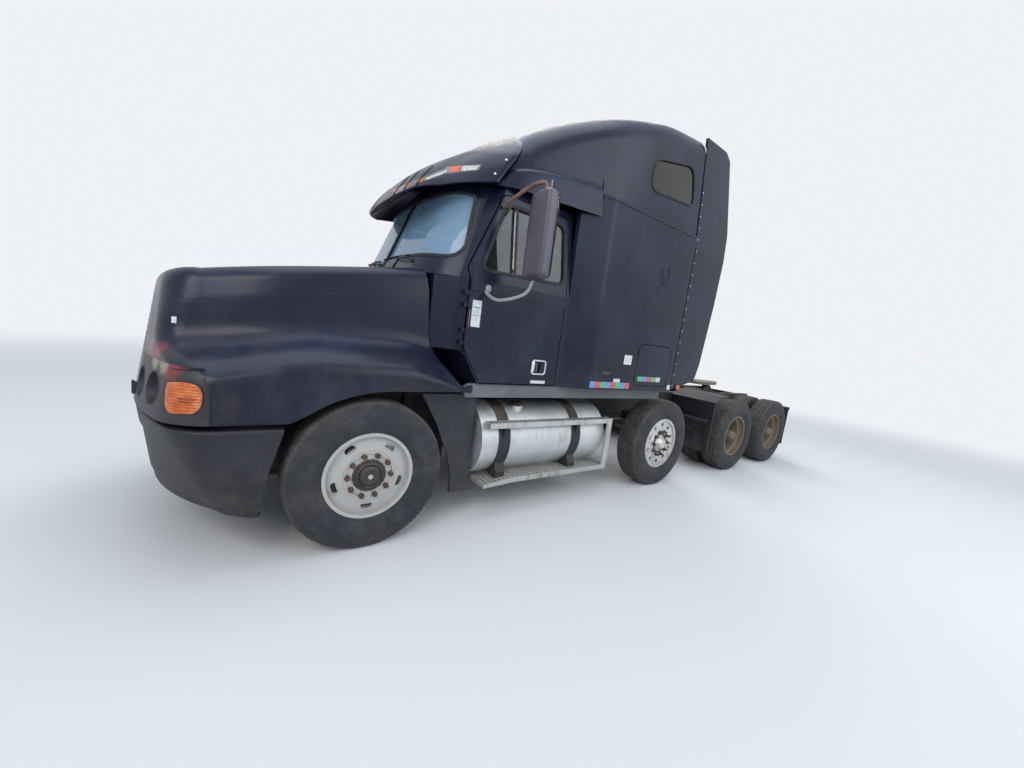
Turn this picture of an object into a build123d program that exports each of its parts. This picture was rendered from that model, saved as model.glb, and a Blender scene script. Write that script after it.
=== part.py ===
from build123d import *
import math
import os

# Bonneted tractor unit with a raised-roof sleeper, a lifting pusher axle and twin drive axles.
# Millimetres. X is across the truck with the driver's side at +X, stations run back along +Y
# from the front axle, and Z is up from the ground. save() moves the origin to mid length.

# Overall places along the truck
bumper_front = -1275
frame_rear = 7241.6
origin_station = 2975
pusher_station = 3403
drive_stations = [5230, 6549]
beyond = 1300

# Tyres and rims
tyre_radius = 520
tyre_width = 290
tread_width = 232
tyre_shoulder = 6
tyre_side = [(395, 0), (440, 6)]
bead_radius = 286
flange_radius = 298.5
rim_width = 235
rim_skin = 10
rim_well = 30
flange_thickness = 12
tyre_seat = 0.3
front_rim_face = 1155
pusher_rim_face = 1150
dual_rim_face = 1187
dual_spacing = 343

# Discs, hubs and drums
disc_thickness = 14
front_disc_depth = 42
front_hub_depth = 20
pusher_disc_depth = 20
dual_hub_depth = 20
hub_bore = 82
bolt_circle = 143
band_height = 8
cap_radius = 52
drum_radius = 212
drum_wall = 14

# Frame
rail_outer = 432
rail_top = 1020
rail_depth = 268
rail_flange = 89
rail_thickness = 9
rail_front = -1160
horn_top = 820
horn_depth = 220
horn_end = -560
horn_ramp = 260
cross_width = 80
rear_cross = frame_rear - 90

# Steering
kingpin_x = 850
kingpin_radius = 24
spindle_radius = 40
arm_length = 170
arm_thickness = 28
ball_radius = 13
kingpin_clearance = 0.2
boss_low = 465
boss_high = 575
fork_ear = 35
fork_gap = 5
rod_drop = 34

# Cab
cab_half = 1090
cab_roof_half = 985
cab_floor = 1160
cowl_bottom = 1410
belt_height = 1960
cab_top = 2700
cab_front = 650
cab_rear = 1640
wall = 50
glass_thickness = 6
glass_inset = 14
screen_low = 290
cowl_gap = 14
screen_high = 575

# Sleeper and raised roof
sleeper_half = 1200
flare_end = 1940
sleeper_rear = 3340
sleeper_top = 2890
roof_bottom = 2700
roof_skirt_end = 1820
roof_wall = 30
visor_skin = 18

# Doors
door_front = 645
door_rear = 1600
door_bottom = 1172
door_top = 2640
door_gap = 8
door_skin = 22
door_thickness = 60
door_inset = 30
belt_low = 1868
belt_proud = 7
divider = (1000, 1044)
hinge_pin_radius = 7
hinge_barrel = 13
hinge_half = 62
hinge_clearance = 0.05

# Luggage doors in the sleeper's sides
hatch_front = 2620
hatch_rear = 3200
hatch_bottom = 1220
hatch_top = 1650
hatch_radius = 70
hatch_thickness = 40
hatch_gap = 7
hatch_pin = 5
hatch_barrel = 9

# Bonnet
hood_pivot = (-1140, 775)
pin_radius = 12
pin_clearance = 0.05
hood_skin = 22
lug_in = 438
lug_out = 464
hood_bottom = 900
front_center = -1300
front_corner = -1060
front_lean = 8
lamp_radius = 90
lamps_at = [(870, 1050), (610, 1040)]
grille_half = 400
grille_low = 960
grille_high = 1480
grille_pitch = 40
grille_slot = 26

# Bumper
bumper_top = 870
bumper_bottom = 330
bumper_skin = 25
bumper_half = 1165
bumper_step = 755
bumper_crease = 415
bumper_proud = 10

# Fuel tanks and steps
tank_radius = 320
tank_x = 780
tank_height = 650
tank_front = 900
tank_rear = 2390
tank_rim = 14
strap_stations = [1125, 1980]
strap_width = 115
strap_thickness = 8
step_outer = 1150
step_front = 930
step_rear = 2440
upper_step = 803
lower_step = 313
tread_thickness = 45

# Fifth wheel
fifth_station = 5760
fifth_pivot = 1120
fifth_pin = 20
plate_top = 1205
plate_thickness = 44
kingpin_throat = 28


def outline(points, radii=0):
    # A closed face through the corner points, each corner rounded by its radius
    return make_face(FilletPolyline(*points, radius=radii, close=True))


def side_prism(points, x0, x1, radii=0):
    # points are (station, height), carried across the truck from x0 to x1
    return Pos(x0, 0, 0) * extrude(Plane.YZ * outline(points, radii), amount=x1 - x0)


def front_prism(points, y0, y1, radii=0):
    # points are (across, height), carried along the truck from y0 to y1
    return Pos(0, y1, 0) * extrude(Plane.XZ * outline(points, radii), amount=y1 - y0)


def plan_prism(points, z0, z1, radii=0):
    # points are (across, station), carried up from z0 to z1
    return Pos(0, 0, z0) * extrude(outline(points, radii), amount=z1 - z0)


def block(x0, x1, y0, y1, z0, z1):
    return Pos((x0 + x1) / 2, (y0 + y1) / 2, (z0 + z1) / 2) * Box(abs(x1 - x0), y1 - y0, z1 - z0)


def rod_x(radius, x0, x1, y, z):
    return Pos((x0 + x1) / 2, y, z) * Rot(0, 90, 0) * Cylinder(radius, abs(x1 - x0))


def rod_y(radius, x, y0, y1, z):
    return Pos(x, (y0 + y1) / 2, z) * Rot(90, 0, 0) * Cylinder(radius, y1 - y0)


def rod_z(radius, x, y, z0, z1):
    return Pos(x, y, (z0 + z1) / 2) * Cylinder(radius, z1 - z0)


def tube(points, radius, bend):
    path = FilletPolyline(*points, radius=bend)
    return sweep(Plane(origin=path @ 0, z_dir=path % 0) * Circle(radius), path=path)


def other_side(shape):
    return mirror(shape, about=Plane.YZ)


def both_sides(shape):
    return [shape, other_side(shape)]


def section_at(station, face):
    return Plane(origin=(0, station, 0), x_dir=(1, 0, 0), z_dir=(0, -1, 0)) * face


def save(name, *shapes):
    solids = []
    for shape in shapes:
        solids += shape.solids()
    export_step(Pos(0, -origin_station, 0) * Compound(solids), f"parts/{name}.step")


os.makedirs("parts", exist_ok=True)

# Wheels and tyres, turned about the axle line


def turned(points):
    return revolve(outline(points), axis=Axis.X)


def pierce(body, sketch, radius, count, first, reach):
    # Cuts a ring of openings through a disc
    for number in range(count):
        face = Plane.YZ * Rot(0, 0, first + number * 360 / count) * Pos(radius, 0, 0) * sketch
        body -= Pos(-reach, 0, 0) * extrude(face, amount=2 * reach)
    return body


def tyre():
    half = tyre_width / 2
    bead = rim_width / 2 - flange_thickness - tyre_seat
    side = [(bead, bead_radius), (bead, flange_radius + 1)]
    side += [(half - back, radius) for radius, back in tyre_side]
    side += [(tread_width / 2, tyre_radius - tyre_shoulder)]
    return turned(side + [(0, tyre_radius)] + [(-x, r) for x, r in reversed(side)])


rim_seat = bead_radius - tyre_seat
rim_inside = rim_seat - rim_skin


def rim():
    # Drop-centre channel with a flange at each side
    half = rim_width / 2
    outer = [(half, flange_radius), (half - flange_thickness, flange_radius),
             (half - flange_thickness, rim_seat),
             (52, rim_seat), (40, rim_seat - rim_well)]
    inner = [(40, rim_inside - rim_well), (52, rim_inside), (half, rim_inside)]
    right = outer + [(-x, r) for x, r in reversed(outer)]
    return turned(right + [(-x, r) for x, r in reversed(inner)] + inner)


def hub(x_in, x_face, cap):
    # Runs on the spindle; closed by its cap
    bore = spindle_radius + pin_clearance
    return turned([(x_in, bore), (x_in, bolt_circle - 33), (x_face - disc_thickness, bolt_circle - 33),
                   (x_face - disc_thickness, hub_bore + 2), (x_face + 6, hub_bore + 2),
                   (cap - 20, cap_radius + 12),
                   (cap, cap_radius), (cap, 0), (cap - 12, 0), (cap - 12, bore)])


def drum(x_in, x_face):
    x_out = x_face - disc_thickness
    return turned([(x_in, drum_radius - drum_wall), (x_in, drum_radius), (x_out, drum_radius),
                   (x_out, hub_bore + 2),
                   (x_out - drum_wall, hub_bore + 2), (x_out - drum_wall, drum_radius - drum_wall)])


def single_wheel(rim_face, disc_depth, hub_depth, cap, holes):
    middle = rim_face - rim_width / 2
    edge = rim_face - disc_depth
    face = rim_face - hub_depth
    disc = turned([(edge, rim_inside + 2), (edge - disc_thickness, rim_inside + 2),
                   (face - disc_thickness, bolt_circle + 22),
                   (face - disc_thickness, hub_bore), (face, hub_bore), (face, bolt_circle + 22)])
    band = turned([(face - 4, bolt_circle + 7), (face + band_height, bolt_circle + 11),
                   (face + band_height, bolt_circle + 25),
                   (face - 12, bolt_circle + 33)])
    disc = pierce(disc + band, *holes, rim_face + 50)
    return disc + Pos(middle, 0, 0) * rim() + hub(middle - 60, face, cap) + drum(middle - 70, face)


def place_wheel(shape, station):
    return Pos(0, station, tyre_radius) * shape


front_center_x = front_rim_face - rim_width / 2
pusher_center_x = pusher_rim_face - rim_width / 2
dual_outer_x = dual_rim_face - rim_width / 2
dual_inner_x = dual_outer_x - dual_spacing
dual_face = (dual_outer_x + dual_inner_x) / 2 + disc_thickness

front_wheel = single_wheel(front_rim_face, front_disc_depth, front_hub_depth, front_rim_face + 10,
                           (SlotOverall(76, 46, rotation=90), 222, 5, 54))
pusher_wheel = single_wheel(pusher_rim_face, pusher_disc_depth, pusher_disc_depth, pusher_rim_face + 34,
                            (Circle(23), 222, 10, 18))
dual_disc = turned([(dual_face, rim_seat - rim_well), (dual_face - 2 * disc_thickness, rim_seat - rim_well),
                    (dual_face - 2 * disc_thickness, hub_bore), (dual_face, hub_bore)])
dual_disc = pierce(dual_disc, SlotOverall(70, 46, rotation=90), 200, 5, 18, dual_rim_face)
dual_spacer = turned([(dual_inner_x, rim_inside - rim_well), (dual_inner_x, rim_seat - rim_well),
                      (dual_outer_x, rim_seat - rim_well), (dual_outer_x, rim_inside - rim_well)])
dual_wheel = Pos(dual_outer_x, 0, 0) * rim() + Pos(dual_inner_x, 0, 0) * rim() + dual_spacer + dual_disc
dual_wheel += hub(dual_inner_x - 60, dual_face, dual_rim_face - dual_hub_depth)
dual_tyres = [Pos(dual_outer_x, 0, 0) * tyre(), Pos(dual_inner_x, 0, 0) * tyre()]

wheel_sets = [
    # name, station, wheel, tyres
    ("front", 0, front_wheel, [Pos(front_center_x, 0, 0) * tyre()]),
    ("pusher", pusher_station, pusher_wheel, [Pos(pusher_center_x, 0, 0) * tyre()]),
    ("drive_1", drive_stations[0], dual_wheel, dual_tyres),
    ("drive_2", drive_stations[1], dual_wheel, dual_tyres),
]
for name, station, wheel, tyres in wheel_sets:
    for side, turn in (("left", lambda shape: shape), ("right", other_side)):
        save(f"{name}_wheel_{side}", turn(place_wheel(wheel, station)))
        save(f"{name}_tyre_{side}", *[turn(place_wheel(one, station)) for one in tyres])

# Frame rails: channels open inward, with lowered horns at the front


def rail_side(inset, past):
    bottom = rail_top - rail_depth + inset
    horn_bottom = horn_top - horn_depth + inset
    lean = inset / 2
    return [(rail_front - past, horn_bottom), (rail_front - past, horn_top - inset),
            (horn_end - lean, horn_top - inset),
            (horn_end + horn_ramp - lean, rail_top - inset), (frame_rear + past, rail_top - inset),
            (frame_rear + past, bottom),
            (horn_end + horn_ramp + lean, bottom), (horn_end + lean, horn_bottom)]


rail_inner = rail_outer - rail_flange
rail_bottom = rail_top - rail_depth
rail = side_prism(rail_side(0, 0), rail_inner, rail_outer)
rail -= side_prism(rail_side(rail_thickness, 5), rail_inner - 1, rail_outer - rail_thickness)
# The bonnet turns on a pin through each rail's web
rail += rod_x(pin_radius, rail_outer - rail_thickness, lug_out + 4, *hood_pivot)
save("frame_rails", *both_sides(rail))

# Crossmembers: channels between the rail webs
cross_half = rail_outer - rail_thickness
cross_table = [
    # station, low, high, side that the channel opens to
    (-1130, horn_top - 205, horn_top - 20, 1),
    (1560, 830, 1000, 1),
    (2700, 770, 1000, 1),
    (4300, 770, 1000, 1),
    (5890, 770, 1000, 1),
    (rear_cross, 770, 1000, -1),
]
crossmembers = []
for station, low, high, opening in cross_table:
    beam = block(-cross_half, cross_half, station - cross_width / 2, station + cross_width / 2, low, high)
    slot = block(-cross_half - 1, cross_half + 1, station - cross_width / 2 - 1,
                 station + cross_width / 2 - 10, low + 10, high - 10)
    if opening > 0:
        slot = Pos(0, 11, 0) * slot
    crossmembers.append(beam - slot)

# Bumper: a moulded skin whose plan bows forward and leans back towards the bottom. Its upper panel stands proud,
# and below its crease it is set back.


def bumper_plan(inset, front, radius, corner, rear):
    # Front arc, a chamfered corner each side and straight returns to the rear
    half = bumper_half - inset
    arc_x = half - corner
    start = front + inset + radius - math.sqrt(radius**2 - arc_x**2)
    cheek = [(arc_x, start), (half - corner * 0.25, start + corner * 0.55), (half, start + corner * 1.4),
             (half, rear)]
    return make_face([
        ThreePointArc((-arc_x, start), (0, front + inset), (arc_x, start)),
        Polyline(*cheek, *[(-x, y) for x, y in reversed(cheek)]),
    ])


def bumper_form(inset, low=bumper_bottom, high=bumper_top):
    # Only the slice from low to high of the whole leaning form
    top = bumper_plan(inset, bumper_front, 2450, 140, -420)
    bottom = bumper_plan(inset, -1210, 1450, 190, -420)
    form = loft([Pos(0, 0, bumper_bottom) * bottom, Pos(0, 0, bumper_top) * top], ruled=True)
    return form & block(-beyond, beyond, -1500, 0, low, high)


bumper_rear = side_prism([(-515, 890), (-515, 850), (-587, 600), (-634, 310), (-300, 310), (-300, 890)],
                         -beyond, beyond)
bumper = bumper_form(0) - bumper_form(bumper_skin)
raised = bumper_form(-bumper_proud, bumper_step) - bumper_form(bumper_skin / 2)
raised &= side_prism([(-1500, bumper_step), (-1500, 890), (-870, 890), (-870, bumper_step)], -beyond, beyond,
                     [0, 0, 0, 60])
lip = bumper_form(-1, bumper_bottom - 1, bumper_crease) - bumper_form(bumper_proud, bumper_bottom - 1,
                                                                      bumper_crease)
bumper = bumper + raised - lip - bumper_rear
for x in (-500, 500):
    bumper -= front_prism([(x - 45, 560), (x - 45, 620), (x + 45, 620), (x + 45, 560)], -1400, -1000, 29)
save("bumper", bumper)

for x in (rail_outer - 60, -rail_outer):
    bracket = block(x, x + 60, -1270, rail_front, horn_top - 200, horn_top - 30)
    crossmembers.append(bracket & bumper_form(bumper_skin))

save("crossmembers", *crossmembers)

# The plan of the cab's front at the cowl: nearly flat in the middle, wrapping round at its ends
cowl_plan = [(0, screen_low), (640, 322), (868, 436), (985, 590), (cab_half, 655)]
roof_plan = [(0, screen_high), (600, 606), (795, 700), (890, 840), (cab_roof_half, 925)]


def bowed(inset, rear, *points):
    # points run from the middle of the front round to the side: a wide front arc, a tighter arc, then straight
    # lines to the rear. Each point moves inward by inset, square to the line through its neighbours.
    chain = [(-points[1][0], points[1][1]), *points, (points[-1][0], rear)]
    moved = []
    for (x0, y0), (x, y), (x1, y1) in zip(chain, chain[1:], chain[2:]):
        length = math.hypot(x1 - x0, y1 - y0)
        moved.append((x - inset * (y1 - y0) / length, y + inset * (x1 - x0) / length))
    front, quarter, middle, end, *sides = moved
    sides = [end, *sides, (sides[-1][0] if sides else end[0], rear)]
    mirrored = [(-x, y) for x, y in (quarter, middle, end)]
    return make_face([
        ThreePointArc(mirrored[0], front, quarter),
        ThreePointArc(quarter, middle, end),
        Polyline(*sides, *[(-x, y) for x, y in reversed(sides)]),
        ThreePointArc(mirrored[2], mirrored[1], mirrored[0]),
    ])


# Bonnet and wings: one moulded shell


def bonnet_section(half, crease, shoulder, inset, bottom):
    h = half - inset
    side = [(h + 22, bottom), (h + 22, 1330), (h, crease), (h - 45, shoulder - inset)]
    points = [(-x, z) for x, z in side] + [(0, shoulder + 45 - inset)] + side[::-1]
    return outline(points, [0, 0, 0, 75, 500, 75, 0, 0, 0])


def bonnet_form(inset, bottom):
    sections = [
        # station, half width, height of the side's crease, shoulder height
        (460, 866, 1832, 2004),
        (-540, 842, 1640, 1820),
        (-880, 800, 1572, 1745),
        (-1060, 770, 1536, 1672),
        (-1150, 745, 1500, 1600),
        (-1350, 700, 1350, 1380),
    ]
    faces = [section_at(y, bonnet_section(half, crease, top, inset, bottom)) for y, half, crease,
             top in sections]
    return loft(faces, ruled=True)


def wing_section(outer, shoulder, valley, inset, bottom):
    # The side turns under a little below its crease
    return outline([(500, bottom), (outer - 14 - inset, bottom), (outer - inset, 1010),
                    (outer - inset, shoulder - 60 - inset),
                    (outer - 75 - inset, shoulder - inset), (860, valley - inset), (500, valley - inset)],
                   [0, 0, 0, 50, 50, 0, 0])


def wing_form(inset, bottom):
    sections = [
        # station, outer face, shoulder height, valley height
        (-1350, 1165, 1185, 1235),
        (-870, 1170, 1230, 1310),
        (-300, 1172, 1330, 1400),
        (200, 1165, 1325, 1400),
        (440, 1155, 1262, 1380),
        (720, 1135, 1165, 1200),
    ]
    faces = [section_at(y, wing_section(outer, shoulder, valley, inset, bottom)) for y, outer, shoulder,
             valley in sections]
    form = loft(faces, ruled=True)
    return form + other_side(form)


def hood_front(inset):
    # Bowed front, leaning back as it rises
    half = 1172 - inset
    arc_x = half - 90
    start = front_corner + inset
    cheek = [(arc_x, start), (half - 24, start + 70), (half + 40, start + 200), (half + 40, 900)]
    face = make_face([
        ThreePointArc((-arc_x, start), (0, front_center + inset), (arc_x, start)),
        Polyline(*cheek, *[(-x, y) for x, y in reversed(cheek)]),
    ])
    lean = math.tan(math.radians(front_lean))
    return Pos(0, 0, hood_bottom - 60) * extrude(face, amount=1300 * math.hypot(1, lean), dir=(0, lean, 1))


def hood_form(inset, bottom):
    return (bonnet_form(inset, bottom) + wing_form(inset, bottom)) & hood_front(inset)


arch = [(-505, 700), (-505, 870), (-280, 1020), (0, 1100), (650, 1100), (690, 1140), (760, 1140), (760, 700)]
arch_radii = [0, 0, 120, 100, 0, 0, 0, 0]
hood_inner = hood_form(hood_skin, hood_bottom - 40)
shell = hood_form(0, hood_bottom) - hood_inner
for prism in both_sides(side_prism(arch, 560, beyond, arch_radii)):
    shell -= prism
shell -= extrude(bowed(-cowl_gap, 900, *cowl_plan), amount=2600)

bezel_zone = plan_prism([(500, -1450), (beyond, -1450), (beyond, -860), (900, -860), (760, -1060),
                         (500, -1060)],
                        hood_bottom - 10, 1205)
grille_zone = block(-grille_half, grille_half, -1450, -900, grille_low, grille_high)
turn_zone = plan_prism([(985, -1450), (beyond, -1450), (beyond, -885), (985, -885)], 950, 1112)
turn_lamp = ((hood_form(-3, hood_bottom) - hood_inner) & turn_zone).solids().sort_by(SortBy.VOLUME)[-1]
hood = shell - bezel_zone - other_side(bezel_zone) - grille_zone

# A swan-neck lug at each side turns on the frame's pin, and passes round the bumper's top edge as the bonnet tilts
lug_shape = [(-16, -16), (18, -22), (140, 42), (156, 103), (116, 161), (47, 190), (-70, 194), (-120, 246),
             (-120, 156),
             (-50, 156), (20, 154), (76, 133), (115, 101), (99, 68), (10, 20), (-16, 14)]
pivot_y, pivot_z = hood_pivot
lug = side_prism([(pivot_y + y, pivot_z + z) for y, z in lug_shape], lug_in, lug_out)
lug &= hood_front(hood_skin / 2) + block(0, beyond, pivot_y - 20, 0, pivot_z - 30, hood_bottom)
lug -= rod_x(pin_radius + pin_clearance, lug_in - 1, lug_out + 1, pivot_y, pivot_z)
for shape in both_sides(lug):
    hood += shape
save("hood", hood)


def front_at(x, z):
    # Station of the bonnet's leaning front face
    arc_x = 1172 - 90
    radius = (arc_x**2 + (front_corner - front_center)**2) / (2 * (front_corner - front_center))
    bow = radius - math.sqrt(radius**2 - x**2)
    return front_center + bow + (z - hood_bottom + 60) * math.tan(math.radians(front_lean))


# Lamp bezels with a round bucket behind each lamp
bezel = (shell & bezel_zone) - turn_zone
for x, z in lamps_at:
    y = front_at(x, z)
    bezel -= rod_y(lamp_radius, x, y - 200, y + 200, z)
    bucket = rod_y(lamp_radius + 8, x, y + 10, y + 110, z) - rod_y(lamp_radius, x, y - 10, y + 98, z)
    bezel += bucket - hood_form(hood_skin / 2, hood_bottom - 40) + (bucket & hood_inner)
    bezel -= rod_y(lamp_radius, x, y - 200, y + 98, z)
save("lamp_bezels", *both_sides(bezel))
save("turn_lamps", *both_sides(turn_lamp))

# One inner lamp is left on the driver's side, where the outer bucket is empty; both stay on the other side
lamp_table = [(-1, *lamps_at[0]), (-1, *lamps_at[1]), (1, *lamps_at[1])]
lamps = []
for side, x, z in lamp_table:
    y = front_at(x, z)
    lamps.append(rod_y(lamp_radius - 0.3, side * x, y + 40, y + 97.7, z))
save("headlamps", *lamps)

grille = shell & grille_zone
for number in range(12):
    z = grille_low + 25 + number * grille_pitch
    grille -= block(25 - grille_half, grille_half - 25, -1450, -900, z, z + grille_slot)
save("grille", grille)

# Cab: the greenhouse leans in towards its roof, and its screen is flat in the middle and wraps at its ends


def greenhouse(inset, rear=cab_rear):
    low = bowed(inset, rear, *cowl_plan)
    high = bowed(inset, rear, *roof_plan)
    return loft([Pos(0, 0, belt_height) * low, Pos(0, 0, cab_top - inset * 0.6) * high], ruled=True)


def glass_skin(rear=cab_rear):
    return greenhouse(glass_inset, rear) - greenhouse(glass_inset + glass_thickness, rear + 10)


lower_half = [(870, 440), (985, 590), (cab_half, 655), (cab_half, cab_rear)]
cab_outer = plan_prism(lower_half + [(-x, y) for x, y in reversed(lower_half)], cab_floor,
                       belt_height) + greenhouse(0)
cab_outer -= side_prism([(300, cab_floor - 10), (300, cowl_bottom), (635, cowl_bottom),
                         (800, cab_floor - 10)], -beyond, beyond)
cab_outer -= block(-820, 820, 300, 600, 1000, belt_height - 60)
cab_inner = block(-cab_half + wall, cab_half - wall, cab_front + 10, cab_rear + 10, cab_floor + wall,
                  belt_height)
cab_inner += greenhouse(wall, cab_rear + 10)
cab_inner -= side_prism([(300, cab_floor - 10), (300, cowl_bottom + wall), (650, cowl_bottom + wall),
                         (850, cab_floor - 10)],
                        -beyond, beyond)
cab_inner -= block(-cab_half, cab_half, 300, cab_front + 10, 1000, belt_height + 60)

door_points = [(810, door_bottom), (door_front, 1424), (door_front, belt_height + 80), (905, door_top),
               (door_rear, door_top),
               (door_rear, door_bottom)]
door_radii = [20, 20, 60, 60, 60, 20]
window_points = [(735, belt_height + 80), (940, 2565), (1545, 2565), (1560, belt_height + 110)]
window_radii = [24, 40, 70, 60]


def door_prism(grow, x0=850, x1=beyond):
    face = offset(outline(door_points, door_radii), grow) if grow else outline(door_points, door_radii)
    return Pos(x0, 0, 0) * extrude(Plane.YZ * face, amount=x1 - x0)


def inside_cab(thickness):
    lower = block(-cab_half + thickness, cab_half - thickness, 300, cab_rear + 10, 1000, belt_height)
    return lower + greenhouse(thickness, cab_rear + 10)


window = side_prism(window_points, 850, beyond, window_radii) - block(850, beyond, *divider, belt_height,
                                                                      door_top)
door_skin_solid = (cab_outer & door_prism(0)) - inside_cab(door_skin)
door_box = ((cab_outer & door_prism(-door_inset)) - inside_cab(door_thickness)) & inside_cab(door_skin)
door = door_skin_solid + door_box - window
door_glass = glass_skin() & window

# Belt moulding and the handle's recess with its upright bar
door += (block(cab_half - 10, cab_half + belt_proud, door_front, door_rear, belt_low, belt_height - 4)
         & door_prism(-2, 850, cab_half + 20))
door -= block(cab_half - 14, cab_half + 20, 1305, 1415, 1275, 1385)
door += block(cab_half - 16, cab_half + 3, 1352, 1370, 1270, 1390)

cab_shell = cab_outer - cab_inner
for prism in both_sides(door_prism(door_gap)):
    cab_shell -= prism

# Screen: two panes with a strip between them
pane_points = [(16, belt_height + 135), (920, belt_height + 150), (932, belt_height + 240), (850, 2610),
               (16, 2640)]
pane = front_prism(pane_points, 250, 900, [12, 50, 0, 60, 12])
for prism in both_sides(pane):
    cab_shell -= prism
panes = both_sides(glass_skin() & pane)

# Door hinges: a pin on the pillar through a barrel on the door
hinge_x = cab_half + 3
hinge_y = door_front - door_gap / 2
for z in (belt_height - 440, belt_height - 160):
    pin = rod_z(hinge_pin_radius, hinge_x, hinge_y, z - hinge_half, z + hinge_half)
    for low in (z - hinge_half, z + hinge_half / 2 + 1):
        high = low + hinge_half / 2 - 1
        leaf = block(hinge_x - hinge_half, hinge_x - 2, hinge_y - 40, hinge_y, low, high)
        pin += rod_z(hinge_barrel, hinge_x, hinge_y, low, high) + (leaf - door_prism(door_gap / 2, 850,
                                                                                     beyond))
    barrel = rod_z(hinge_barrel, hinge_x, hinge_y, z - hinge_half / 2, z + hinge_half / 2)
    barrel += block(hinge_x - 25, hinge_x - 3, hinge_y, hinge_y + 40, z - hinge_half / 2, z + hinge_half / 2)
    barrel -= rod_z(hinge_pin_radius + hinge_clearance, hinge_x, hinge_y, z - 40, z + 40)
    door = (door - rod_z(hinge_barrel + 5, hinge_x, hinge_y, z - hinge_half - 4, z + hinge_half + 4)) + barrel
    for part in both_sides(pin):
        cab_shell += part
    for part, keep in zip(both_sides(rod_z(hinge_barrel + 5, hinge_x, hinge_y, z - 36, z + 36)),
                          both_sides(pin)):
        cab_shell -= part - keep
save("cab_shell", cab_shell)
for side, turn in (("left", lambda shape: shape), ("right", other_side)):
    save(f"door_{side}", turn(door))
    save(f"door_glass_{side}", turn(door_glass))

# Sleeper: a flared box behind the cab
sleeper_half_plan = [(cab_half, cab_rear), (sleeper_half, flare_end), (sleeper_half, sleeper_rear)]
inside_half_plan = [(cab_half - wall, cab_rear - 10), (sleeper_half - wall, flare_end + 10),
                    (sleeper_half - wall, sleeper_rear - wall)]


def doubled(half_plan):
    return half_plan + [(-x, y) for x, y in reversed(half_plan)]


sleeper = plan_prism(doubled(sleeper_half_plan), cab_floor, sleeper_top, [0, 120, 60, 60, 120, 0])
sleeper -= plan_prism(doubled(inside_half_plan), cab_floor + wall, sleeper_top + 10, [0, 100, 20, 20, 100, 0])


def hatch_prism(grow, x0, x1):
    corners = [(hatch_front - grow, hatch_bottom - grow), (hatch_front - grow, hatch_top + grow),
               (hatch_rear + grow, hatch_top + grow), (hatch_rear + grow, hatch_bottom - grow)]
    return side_prism(corners, x0, x1, [20 + grow, hatch_radius + grow, hatch_radius + grow, 20 + grow])


hatch = hatch_prism(0, sleeper_half - hatch_thickness, sleeper_half)
for prism in both_sides(hatch_prism(hatch_gap, sleeper_half - 80, sleeper_half + 10)):
    sleeper -= prism
hatch_y = hatch_front - hatch_gap / 2
for z in (1300, 1560):
    pin = rod_z(hatch_pin, sleeper_half, hatch_y, z - 40, z + 40)
    for low in (z - 40, z + 20):
        pin += rod_z(hatch_barrel, sleeper_half, hatch_y, low, low + 20)
    barrel = rod_z(hatch_barrel, sleeper_half, hatch_y, z - 19, z + 19)
    barrel -= rod_z(hatch_pin + hinge_clearance, sleeper_half, hatch_y, z - 20, z + 20)
    hatch = (hatch - rod_z(hatch_barrel + 3, sleeper_half, hatch_y, z - 42, z + 42)) + barrel
    hatch += block(sleeper_half - 8, sleeper_half - 1, hatch_front + 4, hatch_front + 20, z - 19, z + 19)
    for part, keep in zip(both_sides(rod_z(hatch_barrel + 3, sleeper_half, hatch_y, z - 20, z + 20)),
                          both_sides(pin)):
        sleeper = sleeper - part + keep
# Above the cab's roof the sleeper's side walls stop at the roof's skirt
sleeper -= block(-beyond, beyond, cab_rear - 10, roof_skirt_end, roof_bottom, sleeper_top + 10)
save("sleeper_shell", sleeper)
save("luggage_door_left", hatch)
save("luggage_door_right", other_side(hatch))

# Raised roof: sections widen and rise towards the back


def roof_section(base, shoulder, top, low, inset, radius):
    b = base - inset
    s = shoulder - inset
    return outline([(-b, low), (-s, top - inset), (s, top - inset), (b, low)],
                   [0, radius - inset, radius - inset, 0])


def roof_form(inset, low):
    sections = [
        # station, half width at the skirt, half width at the shoulder, height, corner radius
        (640 + inset, 880, 800, 2770, 60),
        (816, 1005, 890, 2980, 190),
        (1012, 1040, 925, 3155, 240),
        (1305, 1075, 975, 3345, 250),
        (1697, 1130, 1035, 3540, 240),
        (2059, sleeper_half - 10, 1088, 3684, 230),
        (2392, sleeper_half - 6, 1100, 3794, 230),
        (2784, sleeper_half - 4, 1105, 3892, 230),
        (sleeper_rear, sleeper_half - 4, 1110, 3965, 230),
    ]
    faces = [section_at(y, roof_section(base, shoulder, top, low, inset, r)) for y, base, shoulder, top,
             r in sections]
    return loft(faces, ruled=True)


roof_outer = roof_form(0, roof_bottom)
roof = roof_outer - (roof_form(roof_wall, roof_bottom - 50) & block(-beyond, beyond, 0,
                                                                    sleeper_rear - roof_wall, 2000, 5000))
roof -= block(-beyond, beyond, roof_skirt_end, sleeper_rear + 50, roof_bottom - 60, sleeper_top)

# Upper sleeper windows in the roof's sides
upper_window = [(2440, 3125), (2475, 3420), (3120, 3560), (3180, 3170)]
upper_radii = [100, 100, 130, 100]
upper_prism = side_prism(upper_window, 900, beyond, upper_radii)
for prism in both_sides(upper_prism):
    roof -= prism
upper_panes = both_sides((roof_form(8, roof_bottom) - roof_form(8 + glass_thickness,
                                                                roof_bottom)) & upper_prism)
save("roof_cap", roof)
save("cab_glass", *panes, *upper_panes)

# Sun visor: a moulded fairing that bows over the screen and meets the raised roof


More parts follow.
